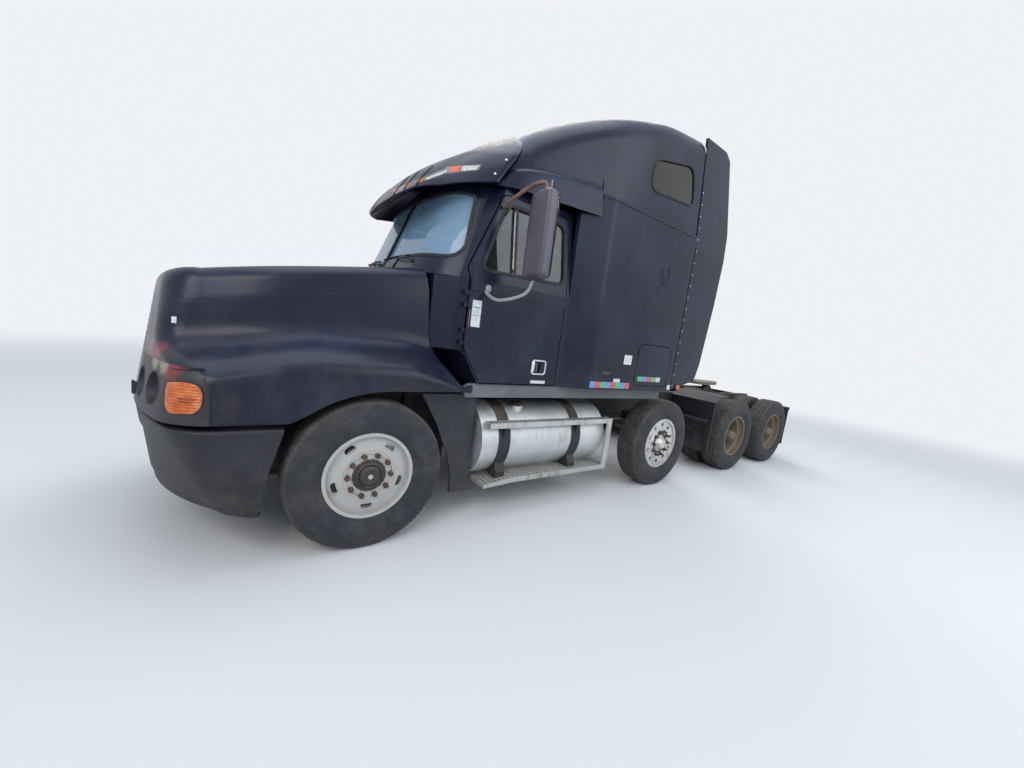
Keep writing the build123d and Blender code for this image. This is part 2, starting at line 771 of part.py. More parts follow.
def visor_form(inset):
    levels = [
        # height, station at the middle, quarter point, end point
        (2560, 250, (560, 300), (985, 700)),
        (2640, 290, (560, 340), (995, 745)),
        (2720, 345, (560, 398), (1000, 800)),
        (2810, 425, (540, 478), (1000, 850)),
        (2920, 550, (500, 605), (995, 920)),
        (3020, 695, (420, 745), (948, 988)),
        (3105, 838, (320, 872), (865, 1035)),
        (3190, 995, (220, 1012), (740, 1080)),
    ]
    faces = []
    for height, front, quarter, end in levels:
        run_x = end[0] - quarter[0]
        run_y = end[1] - quarter[1]
        middle = (quarter[0] + run_x / 2 + 0.12 * run_y, quarter[1] + run_y / 2 - 0.12 * run_x)
        faces.append(Pos(0, 0, height) * bowed(inset, 1150, (0, front), quarter, middle, end))
    return loft(faces, ruled=True)


# The lip's lower edge rises towards its ends
lip_cut = front_prism(doubled([(1010, 2400), (1010, 2704), (910, 2660), (800, 2616), (500, 2592),
                               (200, 2577)]), 0, 1200)
visor_rear = side_prism([(800, 2690), (985, 2960), (1040, 3040), (1140, 3240), (1400, 3240), (1400, 2500),
                         (800, 2500)],
                        -beyond, beyond)
visor = visor_form(0) - visor_form(visor_skin) - lip_cut - visor_rear - roof_outer
visor = visor.solids().sort_by(SortBy.VOLUME)[-1]
save("sun_visor", visor)

# Fuel tanks under the cab, one each side: a rim stands round each domed end


def tank():
    # Half profile of the tank, radius against station
    inner = tank_radius - tank_rim
    points = [(0, tank_front + 8), (inner - 70, tank_front + 14), (inner - 6, tank_front + 34),
              (inner, tank_front),
              (tank_radius, tank_front), (tank_radius, tank_rear), (inner, tank_rear),
              (inner - 6, tank_rear - 34),
              (inner - 70, tank_rear - 14), (0, tank_rear - 8)]
    body = Pos(tank_x, 0, tank_height) * revolve(outline(points), axis=Axis.Y)
    neck = rod_z(50, tank_x + 150, 1330, tank_height, 950) + rod_z(58, tank_x + 150, 1330, 935, 962)
    return body + neck


save("fuel_tanks", *both_sides(tank()))

# Steps: channel treads joined by an end plate at the back; the lower one droops at its front
lower_tread = [(step_front, lower_step - 18), (step_front, lower_step + 15),
               (1230, lower_step + tread_thickness),
               (step_rear, lower_step + tread_thickness), (step_rear, lower_step), (1230, lower_step)]
steps = block(step_outer - 90, step_outer, step_front, step_rear, upper_step + 25,
              upper_step + tread_thickness)
steps += block(step_outer - 8, step_outer, step_front, step_rear, upper_step, upper_step + tread_thickness)
steps += side_prism(lower_tread, step_outer - 215, step_outer)
steps += side_prism([(step_rear - 70, lower_step), (step_rear - 70, upper_step + tread_thickness),
                     (step_rear, upper_step + tread_thickness), (step_rear, lower_step)], step_outer - 14,
                     step_outer)
save("steps", *both_sides(steps))

# Tank straps: a saddle to the rail, a braced arm under the upper step and a foot on the lower one
straps = []
for station in strap_stations:
    y0, y1 = station - strap_width / 2, station + strap_width / 2
    strap = rod_y(tank_radius + strap_thickness, tank_x, y0, y1, tank_height)
    strap += block(rail_outer, tank_x, y0, y1, tank_height - 120, rail_top - 60)
    strap += front_prism([(tank_x + 250, 650), (tank_x + 250, upper_step + 25),
                          (step_outer - 20, upper_step + 25),
                          (step_outer - 20, upper_step + 10), (tank_x + 315, 660)], station - 20,
                          station + 20)
    strap += front_prism([(tank_x + 120, 420), (tank_x + 260, 500), (step_outer - 60, 400),
                          (step_outer - 60, lower_step + 20),
                          (step_outer - 150, lower_step + 20)], y0 + 10, y1 - 10)
    strap -= rod_y(tank_radius, tank_x, tank_front, tank_rear, tank_height)
    straps += both_sides(strap - steps)
save("tank_straps", *straps)

# Front axle: a dropped beam whose end bosses hold the kingpins
beam_half = [(kingpin_x, boss_high), (700, 560), (560, 495)]
# Flat under each boss as far out as the turning fork's corners reach
beam_under = [(600, 395), (720, 455), (kingpin_x - 82, boss_low), (kingpin_x, boss_low)]
beam_points = [(-x, z) for x, z in beam_half] + beam_half[::-1] + beam_under[::-1] + [(-x, z) for x,
                                                                                      z in beam_under]
axle_beam = front_prism(beam_points, -45, 45)
axle_beam -= front_prism([(-540, 420), (-540, 470), (540, 470), (540, 420)], -46, -18)
axle_beam -= front_prism([(-540, 420), (-540, 470), (540, 470), (540, 420)], 18, 46)
fork_low = boss_low - fork_gap - fork_ear
fork_high = boss_high + fork_gap + fork_ear
for side in (1, -1):
    axle_beam += rod_z(54, side * kingpin_x, 0, boss_low, boss_high)
    axle_beam += rod_z(kingpin_radius, side * kingpin_x, 0, fork_low, fork_high)
save("front_axle", axle_beam)


def knuckle():
    # Fork on the kingpin, spindle, brake shield and steering arm
    inner, outer = kingpin_x - 48, kingpin_x + 100
    form = block(inner, outer, -48, 48, fork_low, fork_low + fork_ear)
    form += block(inner, outer, -48, 48, fork_high - fork_ear, fork_high)
    form += block(outer - 36, outer, -48, 48, fork_low, fork_high)
    form += rod_x(spindle_radius, outer - 5, front_rim_face - 50, 0, tyre_radius)
    form += rod_x(62, outer - 5, outer + 12, 0, tyre_radius)
    form += rod_x(drum_radius - drum_wall - 8, outer, outer + 6, 0, tyre_radius)
    form += plan_prism([(inner, -30), (kingpin_x - 26, arm_length + 26), (kingpin_x + 26, arm_length + 26),
                        (kingpin_x + 48, -30)],
                       fork_low, fork_low + arm_thickness)
    form -= rod_z(kingpin_radius + kingpin_clearance, kingpin_x, 0, fork_low - 1, fork_high + 1)
    form -= rod_z(ball_radius + pin_clearance, kingpin_x, arm_length, fork_low - 1,
                  fork_low + arm_thickness + 1)
    return form


left_knuckle = knuckle()
save("knuckle_left", left_knuckle)
save("knuckle_right", other_side(left_knuckle))

# Tie rod under the two arms; its right ball is the open end of the linkage
rod_height = fork_low - rod_drop
tie_rod = rod_x(19, -kingpin_x, kingpin_x, arm_length, rod_height)
for side, ball in ((1, ball_radius), (-1, ball_radius - 2)):
    tie_rod += rod_z(28, side * kingpin_x, arm_length, rod_height - 26, rod_height + 28)
    tie_rod += rod_z(ball, side * kingpin_x, arm_length, rod_height, fork_low + arm_thickness)
save("tie_rod", tie_rod)

# Pusher axle and drive axles
axle_radius = 57
housing_radius = 66
pinion_rise = 30
pusher_spindle = pusher_rim_face - 45
pusher_axle = rod_x(axle_radius, -900, 900, pusher_station, tyre_radius)
pusher_axle += rod_x(spindle_radius, -pusher_spindle, pusher_spindle, pusher_station, tyre_radius)
save("pusher_axle", pusher_axle)

drive_spindle = dual_rim_face - 60
drive_axles = []
for station in drive_stations:
    housing = rod_x(housing_radius, -620, 620, station, tyre_radius)
    housing += rod_x(spindle_radius, -drive_spindle, drive_spindle, station, tyre_radius)
    housing += rod_y(205, 0, station - 120, station + 110, tyre_radius)
    housing += rod_y(80, 0, station - 330, station - 100, tyre_radius + pinion_rise)
    drive_axles.append(housing)

# Propeller shafts: from the gearbox to the first drive axle, and on to the second
gearbox_end = 1380
shaft_radius = 52
shaft_gap = 0.3
first_pinion = drive_stations[0] - 330
between = rod_y(shaft_radius, 0, drive_stations[0] + 110 + shaft_gap, drive_stations[1] - 330 - shaft_gap,
                tyre_radius + pinion_rise)
shaft_start = Vector(0, gearbox_end, 760)
shaft_run = Vector(0, first_pinion, tyre_radius + pinion_rise) - shaft_start
prop_shaft = extrude(Plane(origin=shaft_start, z_dir=shaft_run) * Circle(shaft_radius),
                     amount=shaft_run.length)
prop_shaft &= block(-200, 200, gearbox_end + shaft_gap, first_pinion - shaft_gap, 300, 1000)
save("drive_axles", *drive_axles, between, prop_shaft)

# Springs: leaf packs in front, air springs on trailing arms behind
leaf_table = [
    # half length, top of the ends, top of the middle, thickness
    (680, 600, 556, 22),
    (520, 564, 533, 20),
    (360, 530, 513, 18),
]
spring = None
for half, end, middle, thick in leaf_table:
    face = make_face([
        ThreePointArc((-half, end - thick), (0, middle - thick), (half, end - thick)),
        Line((half, end - thick), (half, end)),
        ThreePointArc((half, end), (0, middle), (-half, end)),
        Line((-half, end), (-half, end - thick)),
    ])
    leaf = Pos(rail_inner, 0, 0) * extrude(Plane.YZ * face, amount=rail_flange)
    spring = leaf if spring is None else spring + leaf
spring += block(rail_inner, rail_outer, -70, 70, 495, 560)
spring += block(rail_inner, rail_outer, 600, 680, 590, rail_bottom)
suspension = both_sides(spring)
for station in [pusher_station] + drive_stations:
    arm = block(348, 424, station - 500, station + 430, 590, 626)
    arm += block(348, 424, station - 70, station + 70, 540, 600)
    arm += block(348, 424, station - 500, station - 420, 600, rail_bottom)
    arm += rod_z(105, 386, station + 330, 640, rail_bottom - 14) + rod_z(85, 386, station + 330, 620,
                                                                         rail_bottom)
    bore = housing_radius if station in drive_stations else axle_radius
    suspension += both_sides(arm - rod_x(bore, 300, 500, station, tyre_radius))
# Cab mounts stand on the rails under the cab and the sleeper
for station in (820, 1560, 2150, 3200):
    suspension += both_sides(rod_z(42, rail_outer - 44, station, rail_top, cab_floor))
save("suspension", *suspension)

# Engine with its gearbox, one plain block on the rails, and the radiator ahead of it
engine = block(-330, 330, -880, 480, 640, 1500)
engine += block(-230, 230, 480, gearbox_end, 620, 960)
for y, low, high in ((-700, 650, 700), (300, 780, 860)):
    engine += block(-cross_half, cross_half, y - 45, y + 45, low, high)
save("engine", engine)
save("radiator", block(-420, 420, -1070, -990, horn_top, 1480))

# Sill rails under the cab and sleeper
sill = side_prism([(700, 1050), (700, 1140), (730, cab_floor), (3300, cab_floor), (3300, 1050)],
                  cab_half - 50, cab_half - 15, [10, 10, 0, 0, 10])
save("sill_rails", *both_sides(sill))

# Side extenders behind the sleeper
extender_side = [(sleeper_rear - 30, 1180), (3780, 1300), (3840, 1500), (3920, 2240), (3960, 3060),
                 (3820, 3860), (3720, 3930),
                 (sleeper_rear - 30, 3930)]
extender_skin = 28
extender_top = sleeper_half - 88
extender_section = [(sleeper_half, 1100), (sleeper_half, 2750), (extender_top, 3960),
                    (extender_top - extender_skin, 3960),
                    (sleeper_half - extender_skin, 2750), (sleeper_half - extender_skin, 1100)]
extender = front_prism(extender_section, sleeper_rear - 60, 4000)
extender &= side_prism(extender_side, 900, beyond, [0, 60, 60, 200, 300, 60, 60, 0])
save("side_extenders", *both_sides(extender - sleeper - roof_outer))

# Splash flaps behind the front wheels
flap = side_prism([(380, 1062), (520, 830), (640, 560), (690, 380), (692, 240), (850, 240), (850, 1062)], 985,
                  1010,
                  [0, 200, 200, 60, 0, 0, 0])
flap += block(rail_outer, 1010, 800, 830, 700, 1062) - block(500, 985, 790, 840, 780, 1030)
save("splash_flaps", *both_sides(flap))

# Quarter fenders ahead of the drive wheels, on a tube from the rail
quarter = block(500, 1150, 4545, 4570, 300, 1010)
quarter += side_prism([(4545, 985), (4545, 1010), (4700, 1090), (4900, 1110), (4900, 1085), (4700, 1064)],
                      500, 1150)
quarter += rod_x(32, rail_outer, 1100, 4520, 730)
save("quarter_fenders", *both_sides(quarter))

# Mud flaps behind the last wheels, hung from a tube
flap_station = rear_cross + 40
mudflap = block(560, 1160, flap_station - 8, flap_station + 8, 260, 900)
mudflap += rod_x(24, rail_outer, 1165, flap_station, 905)
save("mud_flaps", *both_sides(mudflap))

# Fifth wheel: slide base on the rails, and the plate that rocks on its two pins
base = block(-rail_outer, rail_outer, fifth_station - 380, fifth_station + 380, rail_top, rail_top + 16)
for side in (1, -1):
    stand = side_prism([(fifth_station - 200, rail_top + 10), (fifth_station - 45, fifth_pivot + 30),
                        (fifth_station + 45, fifth_pivot + 30), (fifth_station + 200, rail_top + 10)],
                       *sorted((side * 372, side * 404)), [0, 30, 30, 0])
    base += stand + rod_x(fifth_pin, side * 330, side * 404, fifth_station, fifth_pivot)
save("fifth_wheel_base", base)

plate_half = [(kingpin_throat, 60), (190, 560), (300, 480), (455, 120), (455, -400), (300, -480)]
plate_points = [(-x, y) for x, y in reversed(plate_half)] + plate_half
plate_rounds = [60, 60, 120, 30, 30, 0]
plate = Pos(0, fifth_station, 0) * plan_prism(plate_points, plate_top - plate_thickness, plate_top,
                                              plate_rounds + plate_rounds[::-1])
plate -= rod_z(kingpin_throat, 0, fifth_station + 34, plate_top - plate_thickness - 1, plate_top + 1)
plate_low = plate_top - plate_thickness
for side in (1, -1):
    x0, x1 = sorted((side * 334, side * 364))
    cheek = side_prism([(fifth_station - 110, plate_low + 1), (fifth_station - 40, fifth_pivot - 40),
                        (fifth_station + 40, fifth_pivot - 40), (fifth_station + 110, plate_low + 1)], x0, x1,
                        [0, 30, 30, 0])
    plate += cheek - rod_x(fifth_pin + pin_clearance, x0 - 1, x1 + 1, fifth_station, fifth_pivot)
save("fifth_wheel_plate", plate)

# Tail lamps on the rear crossmember's ends: a box with two round lenses
tail_face = rear_cross + cross_width / 2
tail = block(250, 415, tail_face, tail_face + 20, 810, 950)
for x in (292, 373):
    tail += rod_y(36, x, tail_face + 18, tail_face + 32, 880)
save("tail_lamps", *both_sides(tail))

# Seats, dashboard and steering wheel, seen through the glass
seat_profile = [(900, cab_floor + wall), (900, 1560), (1000, 1600), (1350, 1570), (1440, 2320), (1530, 2320),
                (1560, 1500),
                (1440, cab_floor + wall)]
seat = side_prism(seat_profile, 380, 900, [10, 40, 60, 50, 30, 30, 50, 10])
save("seats", *both_sides(seat))
dash_front = cab_front + 10
dash = side_prism([(dash_front, 1500), (dash_front, 1990), (720, 1990), (850, 1900), (860, 1560)], -900, 900,
                  [0, 0, 40, 40, 40])
column = Pos(520, 1010, 1830) * Rot(-50, 0, 0)
steering = column * (Torus(215, 16) + Box(420, 60, 24) + Cylinder(55, 40)) + column * Pos(0, 0,
                                                                                          -150) * Cylinder(24,
                                                                                                           300)
save("dashboard", dash + steering)

# Mirrors on bent arms from the doors
mirror_box = block(1290, 1510, 930, 1030, 1980, 2620)
mirror_box = fillet(mirror_box.edges().filter_by(Axis.Z), 40)
upper_arm = tube([(985, 900, 2540), (1180, 890, 2590), (1400, 960, 2660), (1400, 975, 2600)], 14, 30)
lower_arm = tube([(1070, 790, 1900), (1250, 740, 1790), (1400, 960, 1960), (1400, 970, 1999)], 14, 25)
mirror_left = mirror_box + upper_arm + lower_arm - door
save("mirror_left", mirror_left)
save("mirror_right", other_side(mirror_left))
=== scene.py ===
import math

import bmesh
import bpy
import numpy as np
from mathutils import Euler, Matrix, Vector
from mathutils.bvhtree import BVHTree


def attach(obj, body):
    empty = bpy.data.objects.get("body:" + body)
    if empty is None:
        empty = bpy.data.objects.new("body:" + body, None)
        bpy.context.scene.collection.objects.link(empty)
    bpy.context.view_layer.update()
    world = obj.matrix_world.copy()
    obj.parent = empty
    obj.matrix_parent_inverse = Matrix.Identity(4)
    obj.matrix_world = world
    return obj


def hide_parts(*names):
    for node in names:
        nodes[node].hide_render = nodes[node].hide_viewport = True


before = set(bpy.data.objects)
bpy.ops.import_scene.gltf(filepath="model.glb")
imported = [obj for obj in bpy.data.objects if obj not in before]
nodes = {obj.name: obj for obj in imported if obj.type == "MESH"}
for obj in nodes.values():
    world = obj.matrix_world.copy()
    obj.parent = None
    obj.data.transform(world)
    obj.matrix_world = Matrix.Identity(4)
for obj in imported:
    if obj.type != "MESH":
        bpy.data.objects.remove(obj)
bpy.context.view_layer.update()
print("frame loaded:", len(nodes), "nodes")

# Stations are metres behind the front axle, as in the part's source; the model's middle lies 2.975 m behind it
middle = 2.975
sides = {"left": 1, "right": -1}
fullTurn = 2 * np.pi


def place(x, station, z):
    return np.stack(np.broadcast_arrays(x, np.asarray(station) - middle, z), -1)


def linked(name, data):
    made = bpy.data.objects.new(name, data)
    bpy.context.scene.collection.objects.link(made)
    return made


# Camera, light and floor

cameraPlace = (3.6592, -3.7514, 1.587)
cameraTurn = (1.4402147, -0.1273489, 0.9485664)
cameraLens = 13.51
sensorWidth = 36
pictureSize = (1024, 768)

studio = {
    "sky": {"colour": (0.68, 0.79, 0.98, 1), "strength": 0.56},
    "back": (0.86, 0.88, 0.90, 1),
    "floor": (0.78, 0.775, 0.76),
    "fade": (7.0, 16.0),
    "lamps": [
        # place, aim, size, watts, colour
        ((7.5, -9.0, 8.0), (0, -1.5, 1.2), 6.0, 520, (1.0, 0.98, 0.95)),
        ((9.0, 3.0, 6.5), (0, 0.5, 1.6), 7.0, 330, (0.90, 0.95, 1.0)),
        ((-7.0, 5.0, 10.0), (0, 0.5, 2.5), 8.0, 480, (1.0, 0.95, 0.88)),
        ((0.0, -2.0, 11.0), (0, -1.0, 1.0), 9.0, 440, (0.84, 0.92, 1.0)),
    ],
}

cameraData = bpy.data.cameras.new("camera")
cameraData.lens = cameraLens
cameraData.sensor_width = sensorWidth
cameraData.sensor_fit = "HORIZONTAL"
cameraData.clip_start = 0.05
cameraData.clip_end = 200
camera = linked("camera", cameraData)
camera.location = cameraPlace
camera.rotation_euler = cameraTurn
bpy.context.scene.camera = camera
bpy.context.scene.view_settings.view_transform = "Standard"

for number, (lampPlace, aim, size, watts, colour) in enumerate(studio["lamps"]):
    lampData = bpy.data.lights.new(f"lamp_{number}", "AREA")
    lampData.size = size
    lampData.energy = watts
    lampData.color = colour
    lamp = linked(f"lamp_{number}", lampData)
    lamp.location = lampPlace
    lamp.rotation_euler = (Vector(aim) - Vector(lampPlace)).to_track_quat("-Z", "Y").to_euler()


# Shader maths


class Field:
    # A number that varies over a surface; the operators add Math nodes
    def __init__(self, finish, socket):
        self.finish = finish
        self.socket = socket

    def join(self, operation, *others, clamp=False):
        made = self.finish.add("ShaderNodeMath", {"operation": operation, "use_clamp": clamp},
                               dict(enumerate([self, *others])))
        return Field(self.finish, made.outputs[0])

    def __add__(self, other):
        return self.join("ADD", other)

    __radd__ = __add__

    def __mul__(self, other):
        return self.join("MULTIPLY", other)

    __rmul__ = __mul__

    def __sub__(self, other):
        return self.join("SUBTRACT", other)

    def __rsub__(self, other):
        return self.join("MULTIPLY", -1).join("ADD", other)

    def clamped(self):
        return self.join("ADD", 0.0, clamp=True)

    def rise(self, low, high):
        # 0 below low, 1 above high, eased between them
        settings = {"interpolation_type": "SMOOTHSTEP", "clamp": True}
        values = {"Value": self, "From Min": low, "From Max": high}
        made = self.finish.add("ShaderNodeMapRange", settings, values)
        return Field(self.finish, made.outputs["Result"])


class Finish:
    # One material: a Principled shader with patterns from Object coordinates
    def __init__(self, name, **constants):
        self.material = bpy.data.materials.new(name)
        self.material.use_nodes = True
        self.tree = self.material.node_tree
        self.shader = self.tree.nodes["Principled BSDF"]
        self.coordinates = self.tree.nodes.new("ShaderNodeTexCoord")
        for socket, value in constants.items():
            self.shader.inputs[socket.replace("_", " ")].default_value = value

    def give(self, socket, value):
        if isinstance(value, Field):
            value = value.socket
        if isinstance(value, bpy.types.NodeSocket):
            self.tree.links.new(value, socket)
        else:
            socket.default_value = value

    def add(self, kind, settings=None, values=None):
        made = self.tree.nodes.new(kind)
        for key, value in (settings or {}).items():
            setattr(made, key, value)
        for key, value in (values or {}).items():
            self.give(made.inputs[key], value)
        return made

    def part(self, output, letter):
        split = self.add("ShaderNodeSeparateXYZ", None, {0: self.coordinates.outputs[output]})
        return Field(self, split.outputs[letter])

    def axis(self, letter):
        return self.part("Object", letter)

    def facing(self, letter):
        return self.part("Normal", letter)

    def stretched(self, stretch):
        return self.add("ShaderNodeMapping", None,
                        {"Vector": self.coordinates.outputs["Object"], "Scale": stretch}).outputs[0]

    def cloud(self, scale, detail=4.0, rough=0.55, stretch=(1, 1, 1)):
        made = self.add("ShaderNodeTexNoise", None, {"Vector": self.stretched(stretch), "Scale": scale,
                                                     "Detail": detail, "Roughness": rough})
        return Field(self, made.outputs["Fac"])

    def cells(self, scale):
        made = self.add("ShaderNodeTexVoronoi", None, {"Vector": self.stretched((1, 1, 1)), "Scale": scale})
        return Field(self, made.outputs["Distance"])

    def blend(self, first, second, amount):
        made = self.add("ShaderNodeMix", {"data_type": "RGBA"}, {0: amount})
        for key, value in ((6, first), (7, second)):
            self.give(made.inputs[key], (*value, 1) if isinstance(value, tuple) else value)
        return made.outputs[2]

    def ball(self, centre, radius, soft):
        # 1 inside a sphere, falling to 0 over soft
        made = self.add("ShaderNodeVectorMath", {"operation": "DISTANCE"},
                        {0: self.coordinates.outputs["Object"], 1: tuple(float(v) for v in centre)})
        return 1 - Field(self, made.outputs["Value"]).rise(radius - soft, radius + soft)

    def feed(self, socket, value):
        self.give(self.shader.inputs[socket], (*value, 1) if isinstance(value, tuple) else value)

    def colour(self, value):
        self.feed("Base Color", value)

    def rough(self, value):
        self.feed("Roughness", value)

    def bump(self, height, strength, distance):
        made = self.add("ShaderNodeBump", None, {"Height": height, "Strength": strength, "Distance": distance})
        self.feed("Normal", made.outputs["Normal"])


floorFinish = Finish("studio_floor", Roughness=0.9)
floorFinish.colour(studio["floor"])
glow = floorFinish.add("ShaderNodeEmission", None, {"Color": studio["back"], "Strength": 1.0})
away = floorFinish.add("ShaderNodeVectorMath", {"operation": "LENGTH"},
                       {0: floorFinish.coordinates.outputs["Object"]})
fade = Field(floorFinish, away.outputs["Value"]).rise(*studio["fade"])
cover = floorFinish.add("ShaderNodeMixShader", None,
                        {0: fade, 1: floorFinish.shader.outputs[0], 2: glow.outputs[0]})
floorFinish.give(floorFinish.tree.nodes["Material Output"].inputs["Surface"], cover.outputs[0])

# The sky lights the scene, and what the camera sees directly, through glass or as a reflection is the backdrop

world = bpy.data.worlds.new("studio")
bpy.context.scene.world = world
world.use_nodes = True
sky = world.node_tree
lit = sky.nodes["Background"]
seen = sky.nodes.new("ShaderNodeBackground")
rays = sky.nodes.new("ShaderNodeLightPath")
straight = sky.nodes.new("ShaderNodeMath")
direct = sky.nodes.new("ShaderNodeMath")
pick = sky.nodes.new("ShaderNodeMixShader")
straight.operation = direct.operation = "MAXIMUM"
for background, colour, strength in ((seen, studio["back"], 1.0), (lit, *studio["sky"].values())):
    background.inputs["Color"].default_value = colour
    background.inputs["Strength"].default_value = strength
for output, target in ((rays.outputs["Is Camera Ray"], straight.inputs[0]),
                       (rays.outputs["Is Transmission Ray"], straight.inputs[1]),
                       (straight.outputs[0], direct.inputs[0]),
                       (rays.outputs["Is Glossy Ray"], direct.inputs[1]),
                       (direct.outputs[0], pick.inputs[0]),
                       (lit.outputs[0], pick.inputs[1]),
                       (seen.outputs[0], pick.inputs[2]),
                       (pick.outputs[0], sky.nodes["World Output"].inputs["Surface"])):
    sky.links.new(output, target)


# Mesh helpers: a part is an (n, 3) array of points and a list of index arrays, one for each count of corners

finishes = {}


def solidObject(name, part, finish, body, replaces=(), sharp=50):
    points, faces = part
    mesh = bpy.data.meshes.new(name)
    groups = [np.asarray(f, dtype=np.int32) for f in faces]
    corners = np.concatenate([f.ravel() for f in groups])
    counts = np.concatenate([np.full(len(f), f.shape[1], dtype=np.int32) for f in groups])
    mesh.vertices.add(len(points))
    mesh.vertices.foreach_set("co", np.asarray(points, dtype=np.float32).ravel())
    mesh.loops.add(len(corners))
    mesh.loops.foreach_set("vertex_index", corners)
    mesh.polygons.add(len(counts))
    mesh.polygons.foreach_set("loop_start", np.concatenate([[0], np.cumsum(counts)[:-1]]).astype(np.int32))
    mesh.update(calc_edges=True)
    mesh.validate()
    smoothed(mesh, sharp)
    made = linked(name, mesh)
    mesh.materials.append(finishes[finish].material)
    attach(made, body)
    if replaces:
        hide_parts(*replaces)
    return made


def smoothed(mesh, sharp):
    # Smooth faces, with the edges sharper than an angle in degrees left hard
    mesh.polygons.foreach_set("use_smooth", np.ones(len(mesh.polygons), dtype=bool))
    if sharp:
        mesh.set_sharp_from_angle(angle=math.radians(sharp))


def pairOf(name, part, finish, body, replaces=None, sharp=50):
    # A piece made for the left side, and its mirror image on the right
    for side in sides:
        own = part if side == "left" else mirroredX(part)
        solidObject(f"{name}_{side}", own, finish, f"{body}_{side}",
                    [f"{replaces}_{side}"] if replaces else (), sharp)


def gridFaces(rows, columns, closeRows=False, closeColumns=False):
    # Quads between neighbouring points of a rows x columns grid
    i = np.arange(rows if closeRows else rows - 1)
    j = np.arange(columns if closeColumns else columns - 1)
    a, b = np.meshgrid(i, j, indexing="ij")
    c, d = (a + 1) % rows, (b + 1) % columns
    corners = [a * columns + b, c * columns + b, c * columns + d, a * columns + d]
    return np.stack(corners, axis=-1).reshape(-1, 4)


def fanFaces(ring, centre):
    # Triangles from a closed ring of indices to one point
    return np.stack([ring, np.roll(ring, -1), np.full(len(ring), centre)], axis=-1)


def outwards(part):
    # Turns every face round if the volume inside them comes out negative
    points, faces = part
    volume = 0.0
    for group in faces:
        for k in range(1, group.shape[1] - 1):
            a, b, c = points[group[:, 0]], points[group[:, k]], points[group[:, k + 1]]
            volume += np.einsum("ij,ij->", a, np.cross(b, c))
    return (points, faces) if volume > 0 else (points, [group[:, ::-1] for group in faces])


def capped(rings, ends=None):
    # Closed rings joined in a row, with a fan round a point over each end
    rings = np.asarray(rings)
    rows, count = rings.shape[:2]
    ends = rings[[0, -1]].mean(1) if ends is None else ends
    around = np.arange(count)
    fans = np.concatenate([fanFaces(around, rows * count),
                           fanFaces(around[::-1] + (rows - 1) * count, rows * count + 1)])
    faces = [gridFaces(rows, count, closeColumns=True), fans]
    return outwards((np.concatenate([rings.reshape(-1, 3), ends]), faces))


def circleAngles(steps):
    return np.linspace(0, fullTurn, steps, endpoint=False)


def lathed(profile, steps=96, ripple=None):
    # A closed (x, radius) profile turned about the X axis; ripple(x, radius, angle) may change the radius
    profile = np.asarray(profile, dtype=float)
    x, r = (np.repeat(profile[:, k:k + 1], steps, axis=1) for k in (0, 1))
    a = np.broadcast_to(circleAngles(steps), x.shape)
    if ripple:
        r = ripple(x, r, a)
    grid = np.stack([x, r * np.cos(a), r * np.sin(a)], axis=-1)
    return outwards((grid.reshape(-1, 3), [gridFaces(len(grid), steps, closeRows=True, closeColumns=True)]))


def turnedSolid(levels, steps):
    # A solid turned about the X axis from (x, radius) levels
    a = circleAngles(steps)
    rings = [np.column_stack([np.full(steps, x), r * np.cos(a), r * np.sin(a)]) for x, r in levels]
    return capped(rings, [[levels[0][0], 0, 0], [levels[-1][0], 0, 0]])


def merged(parts):
    allPoints, byCount, start = [], {}, 0
    for points, faces in parts:
        for f in faces:
            byCount.setdefault(f.shape[1], []).append(f + start)
        allPoints.append(points)
        start += len(points)
    return np.concatenate(allPoints), [np.concatenate(v) for v in byCount.values()]


def moved(part, shift, turn=None):
    # turn is a rotation matrix, used before the shift
    points, faces = part
    if turn is not None:
        points = points @ turn.T
    return points + np.asarray(shift), faces


def mirroredX(part):
    points, faces = part
    return points * np.array([-1, 1, 1]), [f[:, ::-1] for f in faces]


def bothSides(*parts):
    part = merged(parts)
    return merged([part, mirroredX(part)])


def repeated(part, shifts, turns):
    # One small shape at many places, worked out as whole arrays
    points, faces = part
    every = np.einsum("nij,pj->npi", np.asarray(turns), points) + np.asarray(shifts)[:, None]
    start = (np.arange(len(shifts)) * len(points))[:, None, None]
    return every.reshape(-1, 3), [(f[None] + start).reshape(-1, f.shape[1]) for f in faces]


def aboutX(angles):
    # Rotation matrices about the X axis
    c, s, o, z = np.cos(angles), np.sin(angles), np.ones_like(angles), np.zeros_like(angles)
    return np.stack([np.stack([o, z, z], -1), np.stack([z, c, -s], -1), np.stack([z, s, c], -1)], -2)


def roundedOutline(width, height, radius, steps=6):
    # A rounded rectangle about the origin, anticlockwise
    inset = np.array([width, height]) / 2 - radius
    out = []
    for number, corner in enumerate([[1, 1], [-1, 1], [-1, -1], [1, -1]]):
        a = np.linspace(0, np.pi / 2, steps) + number * np.pi / 2
        out.append(corner * inset + radius * np.stack([np.cos(a), np.sin(a)], -1))
    return np.concatenate(out)


def roundedPolygon(corners, radius, steps=5):
    # Each corner of a polygon replaced by an arc-like curve through its tangent points
    corners = np.asarray(corners, dtype=float)
    before, after = np.roll(corners, 1, 0) - corners, np.roll(corners, -1, 0) - corners
    lengthBefore, lengthAfter = (np.linalg.norm(v, axis=1, keepdims=True) for v in (before, after))
    radii = np.broadcast_to(np.asarray(radius, dtype=float), len(corners))[:, None]
    cut = np.minimum(radii, np.minimum(lengthBefore, lengthAfter) * 0.49)
    first = corners + before / lengthBefore * cut
    last = corners + after / lengthAfter * cut
    t = np.linspace(0, 1, steps)[None, :, None]
    return bent(first[:, None], corners[:, None], last[:, None], t).reshape(-1, 2)


def bent(first, lead, last, t):
    # A parabola from first to last that sets off towards lead
    return (1 - t)**2 * first + 2 * t * (1 - t) * lead + t**2 * last


